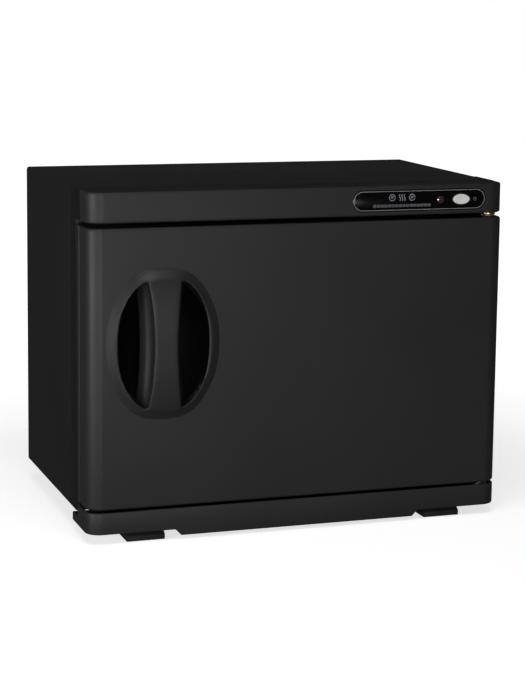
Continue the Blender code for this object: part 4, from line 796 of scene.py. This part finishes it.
# the silver line round the plate, and plain marks for heat, towels and power
def makePrint():
    y0, y1 = plateLow.y - printShape["rise"], plateLow.y + printShape["sink"]
    points, faces = [], []

    def strip(line, width, closed=False):
        left, right = ribbon(line, width, closed)
        base = len(points)
        count = len(left)
        for (lu, lv), (ru, rv) in zip(left, right):
            points.extend([(lu, y0, lv), (ru, y0, rv), (ru, y1, rv), (lu, y1, lv)])
        for i in range(count if closed else count - 1):
            a, b = base + 4 * i, base + 4 * ((i + 1) % count)
            for k in range(4):
                n = (k + 1) % 4
                faces.append([a + k, b + k, b + n, a + n])
        if not closed:
            faces.append([base + k for k in range(4)])
            faces.append([base + 4 * (count - 1) + k for k in (3, 2, 1, 0)])

    border, wave, roll, towel, power = (
        printShape[key] for key in ("border", "wave", "roll", "towel", "power"))
    thick = printShape["line"]
    strip(plateLine(-border["inset"]), border["width"], True)
    u, v = plateLow.x + printShape["middle"], panelZ + printShape["lift"]
    for shift in wave["shifts"]:  # three rising waves between two rolled towels
        shares = [i / wave["steps"] for i in range(wave["steps"] + 1)]
        strip([(u + shift * mm + wave["bend"] * math.sin(2 * math.pi * share),
                v + wave["high"] * (share - 0.5)) for share in shares], wave["width"])
    for side in (-1, 1):
        middle = u + side * roll["aside"]
        strip(arcLine((middle, v), roll["radius"], 0, 345, 24), roll["width"])
        shares = [i / roll["steps"] for i in range(roll["drawn"])]
        strip([(middle + roll["curl"] * (1 - share) * math.cos(share * roll["turn"]),
                v + roll["curl"] * (1 - share) * math.sin(share * roll["turn"])) for share in shares],
              roll["thin"])
    wide, tall = towel["half"]
    base = panelZ - towel["drop"]
    for i in range(towel["count"]):  # a row of small folded towels
        middle = u + (i - (towel["count"] - 1) / 2) * towel["pitch"]
        strip(roundedLine(middle - wide, base - tall, middle + wide, base + tall, towel["corner"], 3),
              thick, True)
        strip([(middle - towel["fold"], base), (middle + towel["fold"], base)], printShape["fine"])
    u = plateHigh.x - power["inset"]
    strip(arcLine((u, panelZ), power["radius"], 120, 420, 30), thick)
    strip([(u, panelZ + power["low"]), (u, panelZ + power["high"])], thick)
    return fit(addMesh("plateMarks", points, faces), "cabinet", "nameplate", silverPrint)


def makeRocker():
    half, axis, proud = (switchShape[key] for key in ("half", "axis", "proud"))
    rings = [(share, y * mm - proud) for share, y in switchShape["crown"]]
    rings += [(share, y * mm) for share, y in switchShape["tail"]]
    rocker = loft("rockerButton", "Y", [(ovalLine(0, 0, half[0] * share, half[1] * share, 64), y - axis)
                                        for share, y in rings])
    turn = Matrix.Rotation(math.radians(switchShape["tilt"]), 4, "Z")
    place = Matrix.Translation((middleOf("switch_housing").x, frontY + axis, panelZ))
    rocker.data.transform(place @ turn)
    return fit(shade(rocker), "power_switch", "rocker", rockerPlastic, "power_rocker")


def makeLampRing():
    ring, lens = lampShape["ring"], lampShape["lens"]
    inset, end = lampShape["tail"]
    neck = ring - inset * mm
    rings = [(ring - step * mm, frontY + y * mm) for step, y in lampShape["collar"]]
    rings += [(ring, plateHigh.y), (neck, plateHigh.y), (neck, frontY + end * mm)]
    collar = loft("lampRing", "Y", [(lampLine(radius), y) for radius, y in rings])
    opened(collar, lampLine(lens + lampShape["boreGap"]), frontY - 2 * mm, frontY + (end + 2) * mm)
    fit(shade(tidyMesh(collar, 0.3), 30), "cabinet", "indicator_ring", brightRing, "indicator_bezel")
    glass = loft("lampLens", "Y",
                 [(lampLine(lens * share), frontY + y * mm) for share, y in lampShape["dome"]])
    return fit(shade(glass), "cabinet", "indicator_lens", lensRed, "indicator_lens")


makeHeader()
makePlate()
makePrint()
makeRocker()
makeLampRing()
fit(refined("switch_housing", "switchCollar", 0.25 * mm, 2), "cabinet", "black_plastic", blackPlastic,
    "switch_housing")
print("header and control panel")


fixedShells = [
    # node, name, body, slot, material, edge rounding
    ("outer_case", "steelCase", "cabinet", "case_paint", powderCoat, 0.35 * mm),
    ("front_frame", "frontFrame", "cabinet", "black_plastic", blackPlastic, 0.5 * mm),
    ("rear_panel", "rearPanel", "cabinet", "zinc_steel", zincSteel, 0.25 * mm),
    ("base_pan", "basePan", "cabinet", "zinc_steel", zincSteel, 0.2 * mm),
    ("inner_chamber", "chamberLiner", "cabinet", "chamber_aluminium", chamberAluminium, 0.3 * mm),
    ("power_inlet", "mainsInlet", "cabinet", "black_plastic", blackPlastic, 0.3 * mm),
    ("fuse_holder", "fuseCap", "cabinet", "black_plastic", blackPlastic, 0.3 * mm),
    ("front_foot_left", "frontFootLeft", "cabinet", "foot_rubber", footRubber, 0.8 * mm),
    ("front_foot_right", "frontFootRight", "cabinet", "foot_rubber", footRubber, 0.8 * mm),
    ("rear_foot_left", "rearFootLeft", "cabinet", "foot_rubber", footRubber, 0.8 * mm),
    ("rear_foot_right", "rearFootRight", "cabinet", "foot_rubber", footRubber, 0.8 * mm),
    ("upper_hinge_bracket", "upperBracket", "cabinet", "gold_zinc", goldZinc, 0.3 * mm),
    ("lower_hinge_bracket", "lowerBracket", "cabinet", "gold_zinc", goldZinc, 0.3 * mm),
    ("strike_plate", "strikePlate", "door", "zinc_steel", zincSteel, 0.2 * mm),
    ("catch_magnet", "catchMagnet", "cabinet", "ferrite", ferrite, 0.4 * mm),
]
for node, name, body, slotName, surface, width in fixedShells:
    fit(refined(node, name, width), body, slotName, surface, node)
print("fixed shells:", len(fixedShells))


trayShape = {"corner": 16 * mm, "wall": 2.2 * mm, "edge": 1.3 * mm, "middleHalf": 127 * mm, "step": 6 * mm,
             "endDrop": 14.5 * mm, "middleDrop": 21 * mm, "tallDepth": 45 * mm, "depth": 67 * mm,
             "rearDrop": 5.3 * mm, "over": 3 * mm}


def makeTray():
    base, top = caseLow.z, trayHigh.z
    tall, depth, over, wall = (trayShape[key] for key in ("tallDepth", "depth", "over", "wall"))

    def skirt(grow):
        end, middle = base - trayShape["endDrop"] + grow, base - trayShape["middleDrop"] + grow
        near, far = trayShape["middleHalf"] - grow, trayShape["middleHalf"] + trayShape["step"] - grow
        edge = halfWide - grow
        lift = top + grow * 4
        return [(-edge, lift), (-edge, end), (-far, end), (-near, middle), (near, middle), (far, end),
                (edge, end), (edge, lift)]

    def shaped(name, grow, corner, near, far, roof):
        made = loft(name, "Y", [(skirt(grow), frontY), (skirt(grow), frontY + depth)])
        if not grow:
            carve(made, block("rear", (-halfWide - over, halfWide + over),
                              (frontY + tall, frontY + depth + over),
                              (base - trayShape["rearDrop"], top + over)))
        plan = planLine(halfWide - grow, corner, near, far)
        return carve(made, loft("plan", "Z", [(plan, base - 0.05), (plan, roof)]), operation="INTERSECT")

    corner = trayShape["corner"]
    tray = shaped("dripTray", 0, corner, 0, depth + over, top + over)
    roundEdges(tidyMesh(tray, 0.3), trayShape["edge"], 4, 25)
    carve(tray, shaped("trough", wall, corner - wall, wall, depth - wall, top + 2 * over))
    return fit(shade(tidyMesh(tray, 0.2)), "tray", "charcoal_plastic", frontPlastic, "drip_tray")


makeTray()
print("drip tray")


# a Geometry Nodes tree with named inputs, ending in Realize Instances and Set Material
class NodeBuild(Wiring):
    def __init__(self, name, inputs):
        tree = bpy.data.node_groups.new(name, "GeometryNodeTree")
        tree.interface.new_socket("Geometry", in_out="INPUT", socket_type="NodeSocketGeometry")
        tree.interface.new_socket("Geometry", in_out="OUTPUT", socket_type="NodeSocketGeometry")
        for label, kind in inputs.items():
            tree.interface.new_socket(label, in_out="INPUT", socket_type="NodeSocket" + kind)
        super().__init__(tree)
        self.source = self.node("NodeGroupInput")
        self.sink = self.node("NodeGroupOutput")

    def value(self, label):
        return self.source.outputs[label]

    # a node with its inputs given by name. A list feeds a socket that takes many
    def made(self, kind, inputs, **settings):
        node = self.node(kind, **settings)
        for label, value in inputs.items():
            for given in value if isinstance(value, list) else [value]:
                self.feed(node.inputs[label], given)
        return node.outputs[0]

    def vector(self, x=0.0, y=0.0, z=0.0):
        return self.made("ShaderNodeCombineXYZ", {"X": x, "Y": y, "Z": z})

    def scaled(self, value, share):
        return self.math("MULTIPLY", value, share)

    def ring(self, radius, sides):
        return self.made("GeometryNodeCurvePrimitiveCircle", {"Radius": radius, "Resolution": sides})

    def outline(self, width, height, corner, steps):
        plain = self.made("GeometryNodeCurvePrimitiveQuadrilateral", {"Width": width, "Height": height})
        return self.made("GeometryNodeFilletCurve", {"Curve": plain, "Count": steps, "Radius": corner},
                         mode="POLY")

    def swept(self, curve, profile):
        return self.made("GeometryNodeCurveToMesh",
                         {"Curve": curve, "Profile Curve": profile, "Fill Caps": True})

    def drum(self, radius, depth, sides, lift):
        shape = self.made("GeometryNodeMeshCylinder", {"Vertices": sides, "Radius": radius, "Depth": depth})
        return self.moved(shape, self.vector(0.0, 0.0, self.scaled(depth, lift)))

    def moved(self, shape, move=(0, 0, 0), turn=(0, 0, 0)):
        return self.made("GeometryNodeTransform", {"Geometry": shape, "Translation": move, "Rotation": turn})

    def copies(self, points, shape):
        return self.made("GeometryNodeInstanceOnPoints", {"Points": points, "Instance": shape})

    def joined(self, *shapes):
        return self.made("GeometryNodeJoinGeometry", {"Geometry": list(shapes)})

    def finished(self, shape):
        real = self.made("GeometryNodeRealizeInstances", {"Geometry": shape})
        surface = {"Geometry": real, "Material": self.value("Material")}
        self.join(self.made("GeometryNodeSetMaterial", surface), self.sink.inputs[0])
        return self.tree


# runs a tree on a mesh of loose points and keeps the result as a plain mesh
def grown(name, tree, values, points=()):
    mesh = bpy.data.meshes.new(name)
    mesh.from_pydata([tuple(point) for point in points] or [(0, 0, 0)], [], [])
    made = bpy.data.objects.new(name, mesh)
    bpy.context.scene.collection.objects.link(made)
    change = made.modifiers.new("grow", "NODES")
    change.node_group = tree
    keys = {item.name: item.identifier for item in tree.interface.items_tree if item.in_out == "INPUT"}
    for label, value in values.items():
        change[keys[label]] = value
    return applied(made)


# a wire rack: a closed frame, wires from front to rear and stays under them
def rackTree():
    build = NodeBuild("wireRack", {
        "Width": "Float", "Depth": "Float", "Corner": "Float", "Frame": "Float", "Wire": "Float",
        "Wires": "Int",
        "Margin": "Float", "Stays": "Int", "Centre": "Vector", "Material": "Material"})
    width, depth, wire = (build.value(label) for label in ("Width", "Depth", "Wire"))
    rim = build.swept(build.outline(width, depth, build.value("Corner"), 10),
                      build.ring(build.value("Frame"), 14))

    # straight wires of one length, spread evenly across the reach
    def row(count, length, reach, along, drop):
        half, back = build.math("DIVIDE", length, 2.0), build.scaled(length, -0.5)
        step = build.math("DIVIDE", reach, build.math("SUBTRACT", count, 1.0))
        start = build.scaled(reach, -0.5)
        if along:
            ends = (build.vector(0.0, back), build.vector(0.0, half))
            places = (build.vector(start, 0.0, drop), build.vector(step))
        else:
            ends = (build.vector(back), build.vector(half))
            places = (build.vector(0.0, start, drop), build.vector(0.0, step))
        line = build.made("GeometryNodeCurvePrimitiveLine", {"Start": ends[0], "End": ends[1]})
        points = build.made("GeometryNodeMeshLine",
                            {"Count": count, "Start Location": places[0], "Offset": places[1]})
        return build.copies(points, build.swept(line, build.ring(wire, 10)))

    inner = build.math("SUBTRACT", width, build.scaled(build.value("Margin"), 2.0))
    wires = row(build.value("Wires"), depth, inner, True, 0.0)
    drop = build.math("SUBTRACT", wire, build.value("Frame"))
    stays = row(build.value("Stays"), width, build.math("DIVIDE", depth, 3.0), False, drop)
    return build.finished(build.moved(build.joined(rim, wires, stays), build.value("Centre")))


rackShape = {"Frame": 2.0 * mm, "Wire": 1.3 * mm, "Corner": 12 * mm, "Margin": 18 * mm,
             "Wires": 11, "Stays": 2}


def makeRack(node, name, body, tree):
    low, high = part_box(node)
    frameBar = rackShape["Frame"]
    values = dict(rackShape, Width=high.x - low.x - 2 * frameBar, Depth=high.y - low.y - 2 * frameBar,
                  Centre=tuple((low + high) / 2), Material=rackSteel)
    return fit(shade(grown(name, tree, values)), body, "rack_wire", rackSteel, node)


rackNodes = rackTree()
makeRack("upper_rack", "upperRack", "upper_shelf", rackNodes)
makeRack("lower_rack", "lowerRack", "lower_shelf", rackNodes)
print("wire racks")


# a soft seal swept round the door: a flat foot with two lips side by side on it
def gasketTree():
    build = NodeBuild("doorSeal", {
        "Width": "Float", "Height": "Float", "Corner": "Float", "Foot": "Float", "Thick": "Float",
        "Bulb": "Float",
        "Centre": "Vector", "Material": "Material"})
    foot, thick = build.value("Foot"), build.value("Thick")
    path = build.outline(build.value("Width"), build.value("Height"), build.value("Corner"), 12)
    path = build.made("GeometryNodeSetCurveNormal", {"Curve": path}, mode="Z_UP")
    shapes = [build.swept(path, build.outline(foot, thick, build.scaled(thick, 0.4), 3))]
    rise = build.scaled(thick, 0.5)
    for share in (-0.27, 0.27):
        lip = build.moved(build.ring(build.value("Bulb"), 14), build.vector(build.scaled(foot, share), rise))
        shapes.append(build.swept(path, lip))
    stood = build.moved(build.joined(*shapes), turn=(math.radians(-90), 0.0, 0.0))
    return build.finished(build.moved(stood, build.value("Centre")))


sealShape = {"Foot": 9.4 * mm, "Thick": 1.1 * mm, "Bulb": 1.25 * mm, "Corner": 8 * mm}
sealInset = {"path": 10 * mm, "behind": 0.05 * mm}


def makeSeal():
    low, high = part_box("door_gasket")
    middle = (low + high) / 2
    depth = low.y + sealShape["Thick"] / 2 + sealInset["behind"]
    values = dict(sealShape, Width=high.x - low.x - sealInset["path"],
                  Height=high.z - low.z - sealInset["path"],
                  Centre=(middle.x, depth, middle.z), Material=gasketRubber)
    return fit(shade(grown("doorSeal", gasketTree(), values)), "door", "gasket", gasketRubber, "door_gasket")


makeSeal()
print("door seal")


# pan-head screws with a cross recess, one on each point, heads along +Z before the turn
def screwTree():
    build = NodeBuild("panHeadScrews", {
        "Head": "Float", "Rise": "Float", "Shank": "Float", "Length": "Float", "Turn": "Vector",
        "Material": "Material"})
    head, rise = build.value("Head"), build.value("Rise")
    steps = [(1.0, 0.35), (0.9, 0.72), (0.68, 0.94), (0.3, 1.0)]  # shares of the head's radius and rise
    layers = [build.drum(build.scaled(head, share), build.scaled(rise, height), 28, 0.5)
              for share, height in steps]
    dome = build.made("GeometryNodeMeshBoolean", {"Mesh 2": layers}, operation="UNION")
    cross = []
    for wide, deep in ((1.2, 0.26), (0.26, 1.2)):
        size = build.vector(build.scaled(head, wide), build.scaled(head, deep), rise)
        cross.append(build.moved(build.made("GeometryNodeMeshCube", {"Size": size}),
                                 build.vector(0.0, 0.0, rise)))
    cut = build.made("GeometryNodeMeshBoolean", {"Mesh 1": dome, "Mesh 2": cross}, operation="DIFFERENCE")
    shank = build.drum(build.value("Shank"), build.value("Length"), 16, -0.499)
    whole = build.moved(build.joined(cut, shank), turn=build.value("Turn"))
    return build.finished(build.copies(build.value("Geometry"), whole))


screwSets = [
    {"name": "footScrews", "nodes": [f"foot_screw_{i}" for i in range(1, 5)], "turn": (math.pi, 0, 0),
     "axis": 2},
    {"name": "rearScrews", "nodes": [f"rear_screw_{i}" for i in range(1, 7)],
     "turn": (math.radians(-90), 0, 0),
     "axis": 1},
]
screwShape = {"Head": 3.6 * mm, "Rise": 1.85 * mm, "Shank": 1.7 * mm}
screwGap = 0.05 * mm


def makeScrews(wanted, tree):
    boxes = [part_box(node) for node in wanted["nodes"]]
    axis, sunk = wanted["axis"], screwShape["Rise"] + screwGap
    length = boxes[0][1][axis] - boxes[0][0][axis] - sunk - screwGap
    points = []
    for low, high in boxes:
        seat = (low + high) / 2
        seat[axis] = low[axis] + sunk if axis == 2 else high[axis] - sunk
        points.append(seat)
    values = dict(screwShape, Length=length, Turn=wanted["turn"], Material=zincSteel)
    made = grown(wanted["name"], tree, values, points)
    return fit(shade(made, 40), "cabinet", "zinc_steel", zincSteel, *wanted["nodes"])


screwNodes = screwTree()
for wanted in screwSets:
    makeScrews(wanted, screwNodes)
print("screws")


keptFinishes = {
    "upper_hinge_pin": pinSteel, "lower_hinge_pin": pinSteel, "upper_hinge_bush": naturalNylon,
    "lower_hinge_bush": naturalNylon, "terminal_block": naturalNylon, "door_insulation": insulationFoam,
    "chamber_insulation": insulationFoam, "floor_heater": heaterFoil, "rear_heater": heaterFoil,
    "thermostat": blackPlastic, "thermal_cutout": blackPlastic, "neon_lamp": lampGlass,
    "live_inlet_wire": wireLooks["brownWire"], "live_switch_wire": wireLooks["brownWire"],
    "switched_wire": wireLooks["brownWire"], "neutral_wire": wireLooks["blueWire"],
    "earth_wire": wireLooks["greenWire"], "rear_heater_wire": wireLooks["tanWire"],
    "floor_heater_wire": wireLooks["tanWire"],
}
for node, surface in keptFinishes.items():
    for place in cadNodes[node].material_slots:
        place.material = surface
print("kept nodes dressed:", len(keptFinishes))


stageShape = {"size": 8.0, "tint": (0.9, 0.9, 0.9), "clear": (0.42, 1.1), "glow": 0.7}


# a pale floor that melts into the white behind it, so that no horizon line shows
def makeStage():
    half = stageShape["size"] / 2
    level = -0.0002
    floor = addMesh("paleFloor", [(-half, -half, level), (half, -half, level), (half, half, level),
                                  (-half, half, level)], [[0, 1, 2, 3]])
    made, shader, wiring = startMaterial("paleFloor", Roughness=0.9, Specular_IOR_Level=0.0)
    tone = wiring.noise(wiring.place(), 3.0, 2.0)
    low = colour(*(part * 0.995 for part in stageShape["tint"]))
    wiring.join(wiring.mixColour(tone, low, colour(*stageShape["tint"])), shader.inputs["Base Color"])
    shader.inputs["Emission Color"].default_value = (1, 1, 1, 1)
    away = wiring.node("ShaderNodeVectorMath", operation="LENGTH")
    wiring.join(wiring.place(), away.inputs[0])
    near, far = stageShape["clear"]
    glow = wiring.spread(away.outputs["Value"], near, far, stageShape["glow"], 1.0)
    seen = wiring.node("ShaderNodeLightPath").outputs["Is Camera Ray"]
    wiring.join(wiring.math("MULTIPLY", glow, seen), shader.inputs["Emission Strength"])
    floor.data.materials.append(made)
    floor.visible_glossy = False


studioLights = [
    # name, place, aimed at, size, power, tint
    ("sideLight", (-2.2, -0.9, 0.35), (-0.2, 0.0, 0.18), (1.2, 1.0), 20.0, (1.0, 0.998, 0.994)),
    ("frontLight", (-0.35, -1.9, 0.14), (0.0, -0.13, 0.1), (1.0, 0.3), 7.0, (1.0, 1.0, 1.0)),
    ("lowLight", (-0.95, -0.95, 0.09), (-0.2, -0.13, 0.1), (0.9, 0.16), 1.6, (1.0, 1.0, 1.0)),
    ("overLight", (-0.4, -1.1, 2.4), (0.0, -0.1, 0.0), (1.4, 0.9), 16.0, (0.99, 0.995, 1.0)),
]
surroundings = 0.05


def makeLights():
    for name, place, target, size, power, tint in studioLights:
        light = bpy.data.lights.new(name, "AREA")
        light.shape = "RECTANGLE"
        light.size, light.size_y = size
        light.energy = power
        light.color = tint
        lamp = bpy.data.objects.new(name, light)
        lamp.location = place
        lamp.rotation_euler = (Vector(target) - Vector(place)).to_track_quat("-Z", "Y").to_euler()
        lamp.visible_camera = False
        bpy.context.scene.collection.objects.link(lamp)
    world = bpy.data.worlds.new("studio")
    world.use_nodes = True
    backdrop = world.node_tree.nodes["Background"]
    backdrop.inputs["Color"].default_value = (1, 1, 1, 1)
    wiring = Wiring(world.node_tree)
    seen = wiring.node("ShaderNodeLightPath").outputs["Is Camera Ray"]
    wiring.join(wiring.spread(seen, 0.0, 1.0, surroundings, 1.0), backdrop.inputs["Strength"])
    bpy.context.scene.world = world


cameraShape = {"place": (-0.67742, -1.98575, 0.56224), "yaw": 0.3298, "pitch": 0.1514, "roll": 0.01186,
               "lens": 100.746, "shiftY": -0.1}


def makeCamera():
    data = bpy.data.cameras.new("studioCamera")
    data.lens = cameraShape["lens"]
    data.sensor_width = 36
    data.shift_y = cameraShape["shiftY"]
    data.clip_end = 50
    yaw, pitch, roll = (cameraShape[key] for key in ("yaw", "pitch", "roll"))
    forward = Vector((math.sin(yaw) * math.cos(pitch), math.cos(yaw) * math.cos(pitch), -math.sin(pitch)))
    right = Vector((math.cos(yaw), -math.sin(yaw), 0))
    up = right.cross(forward)
    across = right * math.cos(roll) + up * math.sin(roll)
    upright = up * math.cos(roll) - right * math.sin(roll)
    turn = Matrix((across, upright, -forward)).transposed()
    camera = bpy.data.objects.new("studioCamera", data)
    camera.matrix_world = Matrix.Translation(cameraShape["place"]) @ turn.to_4x4()
    bpy.context.scene.collection.objects.link(camera)
    bpy.context.scene.camera = camera


makeStage()
makeLights()
makeCamera()
bpy.context.scene.view_settings.view_transform = "Standard"
print("stage, lights and camera")
